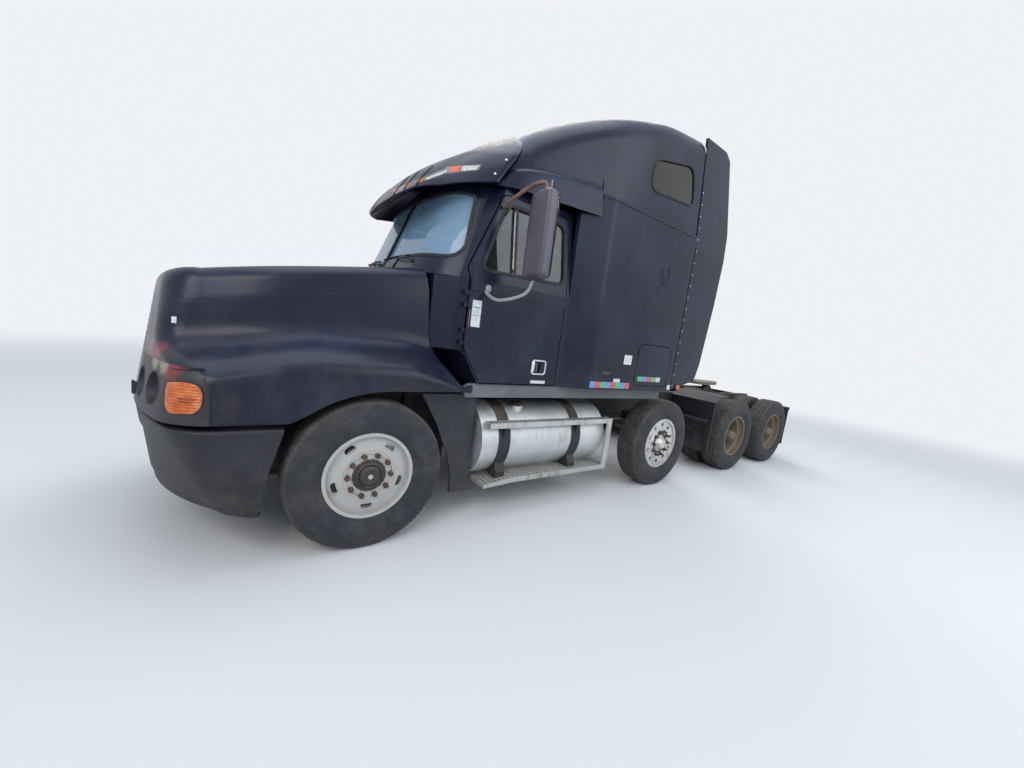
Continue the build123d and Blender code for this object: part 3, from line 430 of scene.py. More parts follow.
def shrunk(loop, amount):
    # A closed 2-D loop moved inwards, square to the line through each point's neighbours
    along = np.roll(loop, -1, 0) - np.roll(loop, 1, 0)
    along /= np.maximum(np.linalg.norm(along, axis=1, keepdims=True), 1e-9)
    return loop + amount * np.stack([-along[:, 1], along[:, 0]], -1)


def grown(loop, amount):
    # A loop moved outwards from its middle, whichever way round it runs
    area = np.sum(loop[:, 0] * np.roll(loop[:, 1], -1) - np.roll(loop[:, 0], -1) * loop[:, 1])
    return shrunk(loop, -amount if area > 0 else amount)


def evenly(points, count, closed=False):
    # Points at equal steps along a line, or round a closed loop
    points = np.asarray(points, dtype=float)
    if closed:
        points = np.concatenate([points, points[:1]])
    far = np.concatenate([[0], np.cumsum(np.linalg.norm(np.diff(points, axis=0), axis=1))])
    at = np.linspace(0, far[-1], count + closed)
    line = np.stack([np.interp(at, far, column) for column in points.T], -1)
    return line[:-1] if closed else line


def slab(loop, thick, edge, crown=0.0):
    # A flat piece of the loop's shape, in the first two axes, with a rounded edge; crown lifts its middle
    levels = [(edge, 0.0), (0.0, edge), (0.0, thick - edge), (edge * 0.3, thick - edge * 0.3), (edge, thick)]
    rings = [np.column_stack([shrunk(loop, inset), np.full(len(loop), z)]) for inset, z in levels]
    centre = loop.mean(0)
    return capped(rings, [[*centre, 0.0], [*centre, thick + crown]])


def axes(u, v):
    # A rotation matrix whose columns are u, v and their cross product, for unit vectors at right angles
    return np.column_stack([u, v, np.cross(u, v)]).astype(float)


upright = axes((0, 1, 0), (0, 0, 1))
facingBack = axes((-1, 0, 0), (0, 0, 1))


def curveThrough(points, steps=8):
    # A smooth line through the points, by Catmull-Rom spans
    p = np.asarray(points, dtype=float)
    p = np.concatenate([[2 * p[0] - p[1]], p, [2 * p[-1] - p[-2]]])
    t = np.linspace(0, 1, steps, endpoint=False)[None, :, None]
    a, b, c, d = p[:-3, None], p[1:-2, None], p[2:-1, None], p[3:, None]
    line = 0.5 * (2 * b + (c - a) * t + (2 * a - 5 * b + 4 * c - d) * t**2 + (3 * b - a - 3 * c + d) * t**3)
    return np.concatenate([line.reshape(-1, p.shape[1]), p[-2:-1]])


def swept(line, section, up, closed=False):
    # Carries a closed 2-D section along a 3-D line; the section's second axis keeps to up
    along = np.roll(line, -1, 0) - np.roll(line, 1, 0) if closed else np.gradient(line, axis=0)
    along /= np.linalg.norm(along, axis=1, keepdims=True)
    across = np.cross(along, np.broadcast_to(np.asarray(up, dtype=float), line.shape))
    across /= np.maximum(np.linalg.norm(across, axis=1, keepdims=True), 1e-9)
    lift = np.cross(across, along)
    section = np.asarray(section)
    rings = line[:, None] + (section[:, :1] * across[:, None] + section[:, 1:] * lift[:, None])
    if closed:
        faces = gridFaces(*rings.shape[:2], closeRows=True, closeColumns=True)
        return outwards((rings.reshape(-1, 3), [faces]))
    return capped(rings, line[[0, -1]])


def strip(hits, normals, width, height, closed=False):
    # A rounded strip along a line of points, standing on the surface they lie on
    half, foot = width / 2, -0.0015
    section = [(-half, foot), (half, foot), (half, height * 0.55), (width * 0.3, height),
               (-width * 0.3, height), (-half, height * 0.55)]
    return swept(hits, section, normals, closed)


def tubeAlong(points, radius, steps=12, steady=(0.12, 0.3, 0.95)):
    a = circleAngles(steps)
    return swept(curveThrough(points), radius * np.stack([np.cos(a), np.sin(a)], -1), steady)


def treeOf(*pieces):
    # The surfaces of several objects, ready for rays
    corners, tris, start = [], [], 0
    for piece in pieces:
        mesh = piece.data
        own = np.zeros(len(mesh.vertices) * 3)
        mesh.vertices.foreach_get("co", own)
        mesh.calc_loop_triangles()
        index = np.zeros(len(mesh.loop_triangles) * 3, dtype=np.int32)
        mesh.loop_triangles.foreach_get("vertices", index)
        corners.append(own.reshape(-1, 3))
        tris.append(index.reshape(-1, 3) + start)
        start += len(mesh.vertices)
    return BVHTree.FromPolygons(np.concatenate(corners).tolist(), np.concatenate(tris).tolist())


def castOn(tree, starts, ways):
    # Rays from starts along ways: hits and normals that face back along the rays
    hits, normals = [], []
    for start, way in zip(starts, np.broadcast_to(ways, np.shape(starts))):
        hit, normal, _, _ = tree.ray_cast(Vector(start), Vector(way).normalized())
        if hit is None:
            hit, normal, _, _ = tree.find_nearest(Vector(start))
        hits.append(hit)
        normals.append(normal if normal.dot(Vector(way)) < 0 else -normal)
    return np.array(hits), np.array(normals)


def seenOn(tree, pixels):
    # Where the camera's rays through pixels of its picture meet a surface
    wide = sensorWidth / cameraLens / pictureSize[0]
    turn = Euler(cameraTurn).to_matrix()
    ways = [turn @ Vector(((u - pictureSize[0] / 2) * wide, (pictureSize[1] / 2 - v) * wide, -1))
            for u, v in np.asarray(pixels).reshape(-1, 2)]
    return castOn(tree, [cameraPlace] * len(ways), np.array(ways))


def fromLeft(tree, points):
    # Where level rays from the left side meet a surface at each (station, height)
    points = np.asarray(points, dtype=float).reshape(-1, 2)
    return castOn(tree, place(1.6, points[:, 0], points[:, 1]), (-1, 0, 0))


def fromFront(tree, points):
    # The same for rays from in front of the screen at each (x, height)
    points = np.asarray(points, dtype=float)
    return castOn(tree, place(points[:, 0], -0.4, points[:, 1]), (0, 1, 0))


def sideLine(tree, points, width, height, closed=False):
    return strip(*fromLeft(tree, points), width, height, closed)


def plateOn(hits, normals, shape, thick):
    # A thin closed plate that lies on a grid of hits; its edge stays on the surface
    mean = normals.mean(0)
    mean /= np.linalg.norm(mean)
    top = hits.reshape(*shape, 3) + mean * thick
    towards = np.cross(top[1, 0] - top[0, 0], top[0, 1] - top[0, 0]) @ mean
    return outwards(shellOf(top, thick + 0.0006, 1 if towards > 0 else -1))


def sticker(tree, corners, thick, shape):
    # A flat sheet between four pixels, top left first and clockwise, laid on a surface
    a, b, c, d = np.asarray(corners, dtype=float)
    v, u = (g[..., None] for g in np.meshgrid(*(np.linspace(0, 1, n) for n in shape), indexing="ij"))
    pixels = (1 - v) * ((1 - u) * a + u * b) + v * ((1 - u) * d + u * c)
    return plateOn(*seenOn(tree, pixels), shape, thick)


def sidePlate(tree, stations, heights, thick, shape):
    # A sheet on the left side between two stations and two heights
    z, station = np.meshgrid(np.linspace(*heights, shape[0]), np.linspace(*stations, shape[1]), indexing="ij")
    return plateOn(*fromLeft(tree, np.stack([station, z], -1)), shape, thick)


def domesOn(hits, normals, radius, height, steps=8):
    # Small rounded heads, each standing square to the surface
    head = turnedSolid([(-0.001, radius), (height * 0.5, radius * 0.9), (height, radius * 0.45)], steps)
    turns = []
    for n in normals:
        side = np.cross((0.05, 0.1, 1.0), n)
        side /= np.linalg.norm(side)
        turns.append(axes(n, side))
    return repeated(head, hits, turns)


# Finishes


def paintFinish(name):
    # Oxidised dark blue paint: cloudy chalking, streaks down the sides, dust low down; what faces up is painted
    # lighter, partly chalk and partly a painted sky sheen
    made = Finish(name, Coat_Weight=0.14, Coat_Roughness=0.20, Specular_IOR_Level=0.22)
    clouds = made.cloud(1.7, 5, 0.6)
    fine = made.cloud(38, 3, 0.6)
    streaks = made.cloud(9, 4, 0.7, stretch=(1, 1, 0.12))
    # Painted sky sheen mixed with the real chalking: faces that point up are lightened towards the pale chalk
    # colour
    top = made.facing("Z").rise(0.25, 0.85)
    washedAndSkySheen = top * 0.5 * streaks.rise(0.3, 0.7)
    chalkAndSkySheen = (clouds.rise(0.42, 0.70) * 0.55 + washedAndSkySheen + streaks.rise(0.55, 0.8) * 0.22).clamped()
    low = (1 - made.axis("Z").rise(0.75, 1.75)) * made.cloud(5, 5, 0.65).rise(0.35, 0.7) * 0.5
    chips = (1 - made.cells(55).rise(0.05, 0.11)) * made.cloud(4, 2).rise(0.55, 0.65)
    base = made.blend((0.0055, 0.0080, 0.0240), (0.0200, 0.0270, 0.0640), chalkAndSkySheen)
    base = made.blend(base, (0.060, 0.052, 0.045), low.clamped())
    made.worn = made.blend(base, (0.13, 0.13, 0.14), chips * 0.25)
    made.colour(made.worn)
    made.rough((0.24 + chalkAndSkySheen * 0.26 + low * 0.35 + fine * 0.06).clamped())
    made.bump(fine * 0.4 + clouds, 0.12, 0.004)
    return made


def plasticFinish(name, base, dusty, rough=0.55, grain=160):
    # Textured plastic: fine grain, greyed by the sun in patches, dirt low down and scuffs along it
    made = Finish(name)
    clouds = made.cloud(3.1, 5, 0.6)
    grains = made.cloud(grain, 2, 0.6)
    scuffs = made.cloud(7, 6, 0.75, stretch=(0.4, 0.4, 5)).rise(0.62, 0.72)
    dirt = (1 - made.axis("Z").rise(0.3, 0.95)) * made.cloud(8, 5, 0.7).rise(0.4, 0.72)
    colour = made.blend(base, dusty, (clouds.rise(0.45, 0.75) * 0.5 + scuffs * 0.35).clamped())
    made.worn = made.blend(colour, (0.085, 0.068, 0.050), (dirt * 0.6).clamped())
    made.colour(made.worn)
    made.rough((rough + clouds * 0.2 + dirt * 0.2 - 0.1).clamped())
    made.bump(grains * 0.5 + scuffs * 0.3, 0.25, 0.002)
    return made


def steelFinish(name, base, rust=0.5, rough=0.7, dust=0.5):
    # Painted or bare steel with rust blooming through and dust on what faces up
    made = Finish(name)
    clouds = made.cloud(6, 6, 0.65)
    fine = made.cloud(60, 4, 0.7)
    bloom = (clouds * 0.7 + fine * 0.3).rise(0.62 - 0.16 * rust, 0.74 - 0.1 * rust) * min(1.0, rust * 1.4)
    settled = made.facing("Z").rise(0.2, 0.9) * dust * clouds.rise(0.3, 0.6)
    colour = made.blend(base, (0.13, 0.052, 0.022), bloom.clamped())
    made.colour(made.blend(colour, (0.17, 0.145, 0.115), settled.clamped()))
    made.rough((rough + fine * 0.2 - 0.1).clamped())
    made.bump(fine + bloom * 0.6, 0.3, 0.002)
    return made


def aluminiumFinish(name, base, rough=0.42, stain=0.5):
    # Weathered bare aluminium: white bloom, grey stains and fine pitting
    made = Finish(name)
    clouds = made.cloud(3.5, 6, 0.65)
    drips = made.cloud(8, 5, 0.7, stretch=(1, 1, 0.25))
    pits = 1 - made.cells(45).rise(0.04, 0.10)
    splashed = (1 - made.axis("Z").rise(0.3, 0.55)) * 0.35 * clouds.rise(0.35, 0.6)
    grime = (drips.rise(0.5, 0.72) * stain + splashed).clamped()
    colour = made.blend(base, tuple(v * 1.15 for v in base), clouds.rise(0.4, 0.7))
    colour = made.blend(colour, (0.23, 0.205, 0.175), grime)
    made.colour(made.blend(colour, (0.08, 0.07, 0.06), pits * made.cloud(2.5, 2).rise(0.5, 0.62) * 0.8))
    made.feed("Metallic", (0.72 - grime * 0.5 - clouds.rise(0.4, 0.8) * 0.25).clamped())
    made.rough((rough + grime * 0.25 + clouds * 0.12).clamped())
    made.bump(clouds * 0.4 + pits * -0.2, 0.2, 0.003)
    return made


def rubberFinish(name):
    # Tyre rubber: bluish bloom on the wall, brown dust on the shoulder and tread
    made = Finish(name, Roughness=0.85)
    wall = Field(made, made.add("ShaderNodeAttribute", {"attribute_name": "wall"}).outputs["Fac"])
    clouds = made.cloud(9, 6, 0.7)
    fine = made.cloud(70, 3, 0.6)
    smear = made.cloud(3, 4, 0.6)
    treadDust = (1 - wall) * (0.35 + clouds.rise(0.35, 0.7) * 0.5)
    dusty = (treadDust + wall * smear.rise(0.45, 0.75) * 0.4).clamped()
    colour = made.blend((0.020, 0.022, 0.027), (0.050, 0.052, 0.058), clouds.rise(0.4, 0.75))
    made.colour(made.blend(colour, (0.125, 0.105, 0.085), (dusty * 0.6).clamped()))
    made.rough((0.68 + clouds * 0.25).clamped())
    made.bump(fine * 0.3 + clouds * 0.4, 0.3, 0.0015)
    return made


def lensFinish(name, dark, pale, rough, scale, **constants):
    # A lamp lens, hazed in patches
    made = Finish(name, **constants)
    haze = made.cloud(scale, 4, 0.6)
    made.colour(made.blend(dark, pale, haze.rise(0.35, 0.7)))
    made.rough((rough + haze * 0.25).clamped())
    return made


def flatFinish(name, colour, worn, rough=0.5, scale=30, **constants):
    # A print or small moulding: its colour, patchily worn
    made = Finish(name, **constants)
    patch = made.cloud(scale, 5, 0.65)
    made.colour(made.blend(colour, worn, patch.rise(0.45, 0.68)))
    made.rough((rough + patch * 0.25).clamped())
    made.bump(patch, 0.15, 0.0005)
    return made


def silveredFinish(name, first, second, rough, scale):
    made = Finish(name, Roughness=rough, Metallic=1.0)
    made.colour(made.blend(first, second, made.cloud(scale)))
    return made


def glassFinish(name, alpha):
    # Tinted glass with a haze over it; the caller gives the colour
    made = Finish(name, Specular_IOR_Level=0.6)
    made.haze = made.cloud(4, 5, 0.65)
    made.rough((0.04 + made.haze.rise(0.5, 0.8) * 0.12).clamped())
    made.feed("Alpha", (alpha + made.haze.rise(0.45, 0.8) * 0.12).clamped())
    return made


finishes.update({
    "paint": paintFinish("faded_paint"),
    "plastic": plasticFinish("black_plastic", (0.008, 0.009, 0.015), (0.032, 0.035, 0.048)),
    "bezel": plasticFinish("bezel_plastic", (0.016, 0.017, 0.021), (0.070, 0.069, 0.066), rough=0.5),
    "trim": plasticFinish("grey_trim", (0.11, 0.115, 0.125), (0.20, 0.20, 0.205), rough=0.5),
    "rubberFlap": plasticFinish("rubber_flap", (0.020, 0.023, 0.030), (0.060, 0.065, 0.075), rough=0.6,
                                grain=90),
    "steel": steelFinish("dark_steel", (0.022, 0.021, 0.021), rust=0.45),
    "plate": steelFinish("plate_steel", (0.14, 0.125, 0.105), rust=0.75, rough=0.5),
    "iron": steelFinish("engine_iron", (0.06, 0.058, 0.055), rust=0.35),
    "aluminium": aluminiumFinish("bare_aluminium", (0.58, 0.60, 0.60)),
    "tread": aluminiumFinish("tread_aluminium", (0.50, 0.51, 0.50), rough=0.5, stain=0.8),
    "polished": aluminiumFinish("wheel_aluminium", (0.60, 0.60, 0.59), rough=0.36),
    "bright": aluminiumFinish("bright_trim", (0.62, 0.63, 0.64), rough=0.25, stain=0.3),
    "whiteSteel": steelFinish("white_steel", (0.46, 0.45, 0.43), rust=0.30, rough=0.5, dust=0.2),
    "tanSteel": steelFinish("dirty_steel", (0.21, 0.165, 0.115), rust=0.4, rough=0.75),
    "rusty": steelFinish("rusty_steel", (0.085, 0.045, 0.028), rust=0.95, rough=0.8),
    "darkIron": steelFinish("hub_iron", (0.040, 0.034, 0.032), rough=0.62),
    "armRust": steelFinish("rusty_arm", (0.20, 0.13, 0.10), rust=0.85, dust=0.2),
    "armPale": steelFinish("pale_arm", (0.30, 0.29, 0.29), rust=0.45, rough=0.6, dust=0.2),
    "tyre": rubberFinish("tyre"),
    "lens": lensFinish("lamp_lens", (0.34, 0.42, 0.50), (0.60, 0.62, 0.62), 0.10, 14,
                       Transmission_Weight=0.25),
    "amber": lensFinish("amber_lens", (0.50, 0.085, 0.012), (0.66, 0.20, 0.05), 0.22, 20, Coat_Weight=0.3),
    "red": lensFinish("red_lens", (0.30, 0.012, 0.010), (0.42, 0.04, 0.03), 0.24, 24, Coat_Weight=0.3),
    "reflector": silveredFinish("reflector", (0.80, 0.81, 0.82), (0.55, 0.56, 0.58), 0.08, 30),
    "mirrorGlass": silveredFinish("mirror_glass", (0.72, 0.76, 0.78), (0.55, 0.58, 0.60), 0.02, 6),
    "gasket": flatFinish("window_rubber", (0.010, 0.010, 0.011), (0.040, 0.040, 0.042), 0.6, 20),
    "gloss": flatFinish("gloss_black", (0.006, 0.006, 0.008), (0.018, 0.018, 0.024), 0.12, 8,
                        Coat_Weight=0.6, Coat_Roughness=0.1),
    "orange": flatFinish("orange_marker", (0.60, 0.085, 0.018), (0.40, 0.07, 0.025), 0.35, Coat_Weight=0.3),
    "amberShade": flatFinish("amber_shade", (0.20, 0.045, 0.020), (0.30, 0.08, 0.03), 0.4, 60),
    "cream": flatFinish("cream_print", (0.62, 0.58, 0.52), (0.30, 0.26, 0.23), scale=60),
    "label": flatFinish("paper_label", (0.66, 0.70, 0.70), (0.46, 0.50, 0.50), 0.6, 40),
    "labelGreen": flatFinish("label_head", (0.11, 0.33, 0.27), (0.25, 0.42, 0.36), 0.6, 60),
    "faintPrint": flatFinish("faint_print", (0.03, 0.08, 0.07), (0.015, 0.017, 0.025), scale=80),
    "tileRed": flatFinish("tile_red", (0.55, 0.055, 0.075), (0.62, 0.30, 0.30), 0.4, 90),
    "tileGreen": flatFinish("tile_green", (0.05, 0.40, 0.13), (0.35, 0.55, 0.38), 0.4, 90),
    "tileBlue": flatFinish("tile_blue", (0.07, 0.24, 0.58), (0.40, 0.52, 0.68), 0.4, 90),
    "tilePale": flatFinish("tile_pale", (0.55, 0.60, 0.66), (0.33, 0.35, 0.33), 0.4, 90),
    "screen": glassFinish("screen_glass", 0.62),
    "doorGlass": glassFinish("door_glass", 0.93),
    "mirror": Finish("mirror_housing", Coat_Weight=0.25, Coat_Roughness=0.2),
    "fabric": Finish("seat_fabric", Roughness=0.9, Sheen_Weight=0.3),
})

# Above the screen proper the same glass node covers the sleeper's dark upper windows

screen = finishes["screen"]
high = screen.axis("Z").rise(2.9, 3.0)
# The screen's light blue colour is a painted sky reflection; above it the upper windows are dark
screen.colour(screen.blend((0.26, 0.43, 0.60), (0.012, 0.014, 0.014), high))
screen.feed("Alpha", (0.58 + high * 0.40).clamped())
doorGlass, tint = finishes["doorGlass"], (0.014, 0.020, 0.018)
doorGlass.colour(doorGlass.blend(tint, tuple(v * 1.6 + 0.02 for v in tint), doorGlass.haze.rise(0.4, 0.75)))

housing = finishes["mirror"]
clouds = housing.cloud(5, 5, 0.6)
streaks = housing.cloud(10, 4, 0.7, stretch=(1, 1, 0.15))
faded = (clouds.rise(0.4, 0.75) * 0.6 + streaks.rise(0.5, 0.8) * 0.4).clamped()
housing.colour(housing.blend((0.055, 0.048, 0.075), (0.16, 0.15, 0.19), faded))
housing.rough((0.33 + clouds * 0.2).clamped())
housing.bump(clouds, 0.1, 0.003)

fabric = finishes["fabric"]
threads = 900
weave = ((fabric.axis("X") * threads).join("SINE") * (fabric.axis("Z") * threads).join("SINE")).rise(-0.4, 0.6)
fabric.colour(fabric.blend((0.075, 0.078, 0.085), (0.13, 0.13, 0.135), weave))
fabric.bump(weave, 0.4, 0.001)

nodeFinish = {
    "paint": "hood cab_shell sleeper_shell roof_cap sun_visor door_left door_right luggage_door_left "
             "luggage_door_right side_extenders",
    "steel": "frame_rails crossmembers front_axle suspension pusher_axle drive_axles tank_straps knuckle_left "
             "knuckle_right tie_rod fifth_wheel_base",
    "plate": "fifth_wheel_plate",
    "iron": "engine",
    "plastic": "bumper lamp_bezels grille quarter_fenders dashboard",
    "rubberFlap": "splash_flaps mud_flaps",
    "aluminium": "fuel_tanks radiator",
    "tread": "steps",
    "polished": "pusher_wheel_left pusher_wheel_right",
    "trim": "sill_rails",
    "whiteSteel": "front_wheel_left front_wheel_right",
    "tanSteel": "drive_1_wheel_left drive_1_wheel_right drive_2_wheel_left drive_2_wheel_right",
    "tyre": " ".join(f"{w}_tyre_{s}" for w in ("front", "pusher", "drive_1", "drive_2") for s in sides),
    "screen": "cab_glass",
    "doorGlass": "door_glass_left door_glass_right",
    "lens": "headlamps",
    "amber": "turn_lamps",
    "red": "tail_lamps",
    "mirror": "mirror_left mirror_right",
    "fabric": "seats",
}
for finishName, words in nodeFinish.items():
    for node in words.split():
        slots = nodes[node].data.materials
        slots.clear()
        slots.append(finishes[finishName].material)
print("finishes given to the CAD nodes")


# Moulded skins: rounded shells worked out from tables of stations, as the real mouldings are


def ease(value, low, high):
    t = np.clip((value - low) / (high - low), 0, 1)
    return t**2 * (3 - 2 * t)


def hermite(t, a, b, wayA, wayB):
    # A cubic from a to b that leaves and arrives along the given ways
    return ((2 * t**3 - 3 * t**2 + 1) * a + (t**3 - 2 * t**2 + t) * wayA
            + (3 * t**2 - 2 * t**3) * b + (t**3 - t**2) * wayB)


def follow(table, at):
    # A table's other columns against its first: cubic spans that never overshoot between rows
    table = np.asarray(table, dtype=float)
    keys, values = table[:, 0], table[:, 1:]
    slope = np.diff(values, axis=0) / np.diff(keys)[:, None]
    first, second = slope[:-1], slope[1:]
    same = first * second > 0
    mean = np.where(same, 2 * first * second / np.where(same, first + second, 1), 0)
    tangent = np.concatenate([slope[:1], mean, slope[-1:]])
    at = np.clip(at, keys[0], keys[-1])
    i = np.clip(np.searchsorted(keys, at) - 1, 0, len(keys) - 2)
    wide = (keys[i + 1] - keys[i])[..., None]
    t = (at - keys[i])[..., None] / wide
    return hermite(t, values[i], values[i + 1], wide * tangent[i], wide * tangent[i + 1])


def softCorners(corners, radii, arcSteps=8, runSteps=5):
    # A chain of corners, rounded: straight runs joined by curves that start and end a radius from each corner.
    # Also gives each point's place counted in corners
    out, counts = [corners[0]], [0.0]
    last = corners[0]
    final = len(corners) - 1
    runs = np.linspace(0, 1, runSteps + 1)[1:]
    for i in range(1, final + 1):
        start = point = corners[i]
        if i < final:
            back, ahead = corners[i - 1] - point, corners[i + 1] - point
            lengths = [np.maximum(np.linalg.norm(v, axis=-1, keepdims=True), 1e-6) for v in (back, ahead)]
            cut = np.minimum(radii[i], 0.48 * np.minimum(*lengths))
            start, end = point + back / lengths[0] * cut, point + ahead / lengths[1] * cut
        for t in runs:
            out.append(last + (start - last) * t)
            counts.append(i - 1 + 0.25 + 0.5 * t if i > 1 else 0.75 * t)
        if i < final:
            for t in np.linspace(0, 1, arcSteps)[1:]:
                out.append(bent(start, point, end, t))
                counts.append(i - 0.25 + 0.5 * t)
            last = end
    counts = np.array(counts)
    counts[-runSteps:] = final - 0.75 + 0.75 * runs
    return np.stack(out), counts


def gridNormals(grid, outward):
    normal = np.cross(np.gradient(grid, axis=0), np.gradient(grid, axis=1))
    return outward * normal / np.maximum(np.linalg.norm(normal, axis=-1, keepdims=True), 1e-12)


def shellOf(grid, thickness, outward=1):
    # A grid surface and its copy moved inwards, joined round the border; outward is the normal's sign
    rows, columns = grid.shape[:2]
    inner = grid - gridNormals(grid, outward) * thickness
    count = rows * columns
    outerFaces = gridFaces(rows, columns)
    index = np.arange(count).reshape(rows, columns)
    border = np.concatenate([index[0, :-1], index[:-1, -1], index[-1, :0:-1], index[:0:-1, 0]])
    after = np.roll(border, -1)
    edge = np.stack([after, border, border + count, after + count], -1)[:, ::-1]
    faces = np.concatenate([outerFaces, outerFaces[:, ::-1] + count, edge])
    if outward < 0:
        faces = faces[:, ::-1]
    return np.concatenate([grid.reshape(-1, 3), inner.reshape(-1, 3)]), [faces]


def bothHalves(half):
    # Columns that run from the left edge to the middle, carried on to the right edge
    return np.concatenate([half, (half * np.array([-1, 1, 1]))[:, -2::-1]], axis=1)


def prismAlong(axisName, loop, low, high):
    # A straight-sided solid: loop as (station, height) along x, or as (x, height) along y
    first, z = np.asarray(loop, dtype=float).T
    ends = [place(value, first, z) if axisName == "x" else place(first, value, z) for value in (low, high)]
    count = len(z)
    end = np.arange(count)[None]
    return np.concatenate(ends), [gridFaces(2, count, closeColumns=True), end, end[:, ::-1] + count]


def plainMesh(name, part):
    points, faces = part
    mesh = bpy.data.meshes.new(name)
    mesh.from_pydata(points.tolist(), [], [list(face) for group in faces for face in group.tolist()])
    work = bmesh.new()
    work.from_mesh(mesh)
    bmesh.ops.recalc_face_normals(work, faces=work.faces)
    work.to_mesh(mesh)
    work.free()
    return linked(name, mesh)


def carved(piece, operation, *parts, folded=False):
    # Takes parts out of a piece, or keeps only what lies in them, and leaves no modifier; folded is for a shell
    # whose inner wall crosses itself
    cutters = [plainMesh("cutter", part) for part in parts]
    for cutter in cutters:
        step = piece.modifiers.new("cut", "BOOLEAN")
        step.operation = operation
        step.solver = "EXACT"
        step.use_self = folded
        step.object = cutter
    mesh = bpy.data.meshes.new_from_object(piece.evaluated_get(bpy.context.evaluated_depsgraph_get()))
    piece.modifiers.clear()
    old = piece.data
    piece.data = mesh
    bpy.data.meshes.remove(old)
    for cutter in cutters:
        bpy.data.meshes.remove(cutter.data)
    smoothed(mesh, 32)


# Bonnet and wings

bonnet = {
    # station, half width, height of the side's crease, shoulder height
    "top": [(-1.350, 0.765, 1.475, 1.640), (-1.150, 0.778, 1.512, 1.678), (-1.060, 0.786, 1.532, 1.700),
            (-0.880, 0.802, 1.570, 1.745), (-0.540, 0.842, 1.640, 1.820), (0.460, 0.866, 1.832, 2.004)],
    # station, outer face, shoulder height, valley height
    "wing": [(-1.350, 1.165, 1.185, 1.255), (-0.870, 1.170, 1.230, 1.325), (-0.300, 1.172, 1.330, 1.410),
             (0.200, 1.165, 1.325, 1.410), (0.440, 1.155, 1.262, 1.385), (0.720, 1.135, 1.165, 1.210)],
    # station, lower edge
    "edge": [(-1.350, 0.900), (-0.500, 0.900), (-0.440, 0.925), (-0.280, 1.020), (-0.140, 1.070),
             (0.000, 1.098), (0.120, 1.104), (0.640, 1.104), (0.700, 1.140), (0.760, 1.142)],
    # half width, station of the rear edge
    "cowl": [(0.0, 0.276), (0.640, 0.306), (0.868, 0.418), (0.985, 0.572), (1.090, 0.640), (1.112, 0.720),
             (1.300, 0.722)],
    # the face's middle, the radius it is bowed to, its backward lean and the height where it starts
    "front": -1.300, "bow": 2.559, "lean": math.tan(math.radians(8)), "low": 0.840,
    # at each corner of the section: the nose's rolled edge, and where its face runs to
    "roll": [0.17, 0.17, 0.15, 0.09, 0.10, 0.14, 0.15, 0.15],
    "targetX": [0.4, 0.4, 0.4, 0.4, 0.4, 0.4, 0.4, 0.0],
    "targetZ": [0.900, 0.985, 1.09, 1.17, 1.25, 1.36, 1.48, 1.48],
    "skin": 0.012, "bezelSkin": 0.016, "rows": 84,
}


def faceStation(x, z):
    return (bonnet["front"] + bonnet["bow"] - np.sqrt(bonnet["bow"]**2 - np.minimum(np.abs(x), 1.3)**2)
            + (z - bonnet["low"]) * bonnet["lean"])


def hoodSection(s):
    # Left half of the section at each station: lower edge, wing side, wing top, valley, bonnet side, top
    half, crease, top = np.moveaxis(follow(bonnet["top"], s), -1, 0)
    outer, shoulder, valley = np.moveaxis(follow(bonnet["wing"], s), -1, 0)
    low = follow(bonnet["edge"], s)[..., 0]
    bend = 1.010
    tuck = 0.014 * np.clip((bend - low) / 0.11, 0, 1)
    corners = [(outer - tuck, low), (outer, np.maximum(bend, low + 0.02)), (outer, shoulder - 0.075),
               (outer - 0.105, shoulder), (half + 0.024, valley), (half, crease), (half - 0.048, top),
               (0 * half, top + 0.045)]
    corners = np.stack([np.stack(c, -1) for c in corners])
    return softCorners(corners, [0, 0.02, 0.085, 0.11, 0.13, 0.03, 0.085, 0])


def hoodGrid():
    _, counts = hoodSection(np.array([0.0]))
    n = len(counts)
    own = np.arange(n)
    roll, targetX, targetZ = (np.interp(counts, np.arange(8), bonnet[key])
                              for key in ("roll", "targetX", "targetZ"))

    def at(s):
        # Each column's own point at its own station
        points, _ = hoodSection(s)
        return points[own, own] if s.ndim == 1 else np.moveaxis(points[own, :, own, :], 0, 1)

    rear = np.full(n, 0.4)
    front = np.full(n, -1.0)
    for _ in range(4):
        rear = np.interp(at(rear)[:, 0], *np.array(bonnet["cowl"]).T)
    rear = np.where(counts < 2.6, 0.722, rear)
    for _ in range(8):
        p = at(front)
        front = 0.5 * front + 0.5 * (faceStation(p[:, 0], p[:, 1]) + roll)
    stations = rear + (front - rear) * np.linspace(0, 1, bonnet["rows"])[:, None]
    body = at(stations)
    rim = body[-1]
    way = np.column_stack([targetX, targetZ]) - rim
    far = np.linalg.norm(way, axis=1, keepdims=True)
    way /= far
    rows = [place(body[..., 0], stations, body[..., 1])]
    for angle in np.linspace(0, np.pi / 2, 9)[1:]:
        x, z = (rim + way * (roll * (1 - np.cos(angle)))[:, None]).T
        rows.append(place(x, faceStation(x, z) + roll * (1 - np.sin(angle)), z)[None])
    for t in np.linspace(0, 1, 16)[1:]:
        x, z = (rim + way * (roll[:, None] + (far - roll[:, None]) * t)).T
        rows.append(place(x, faceStation(x, z), z)[None])
    return bothHalves(np.concatenate(rows))


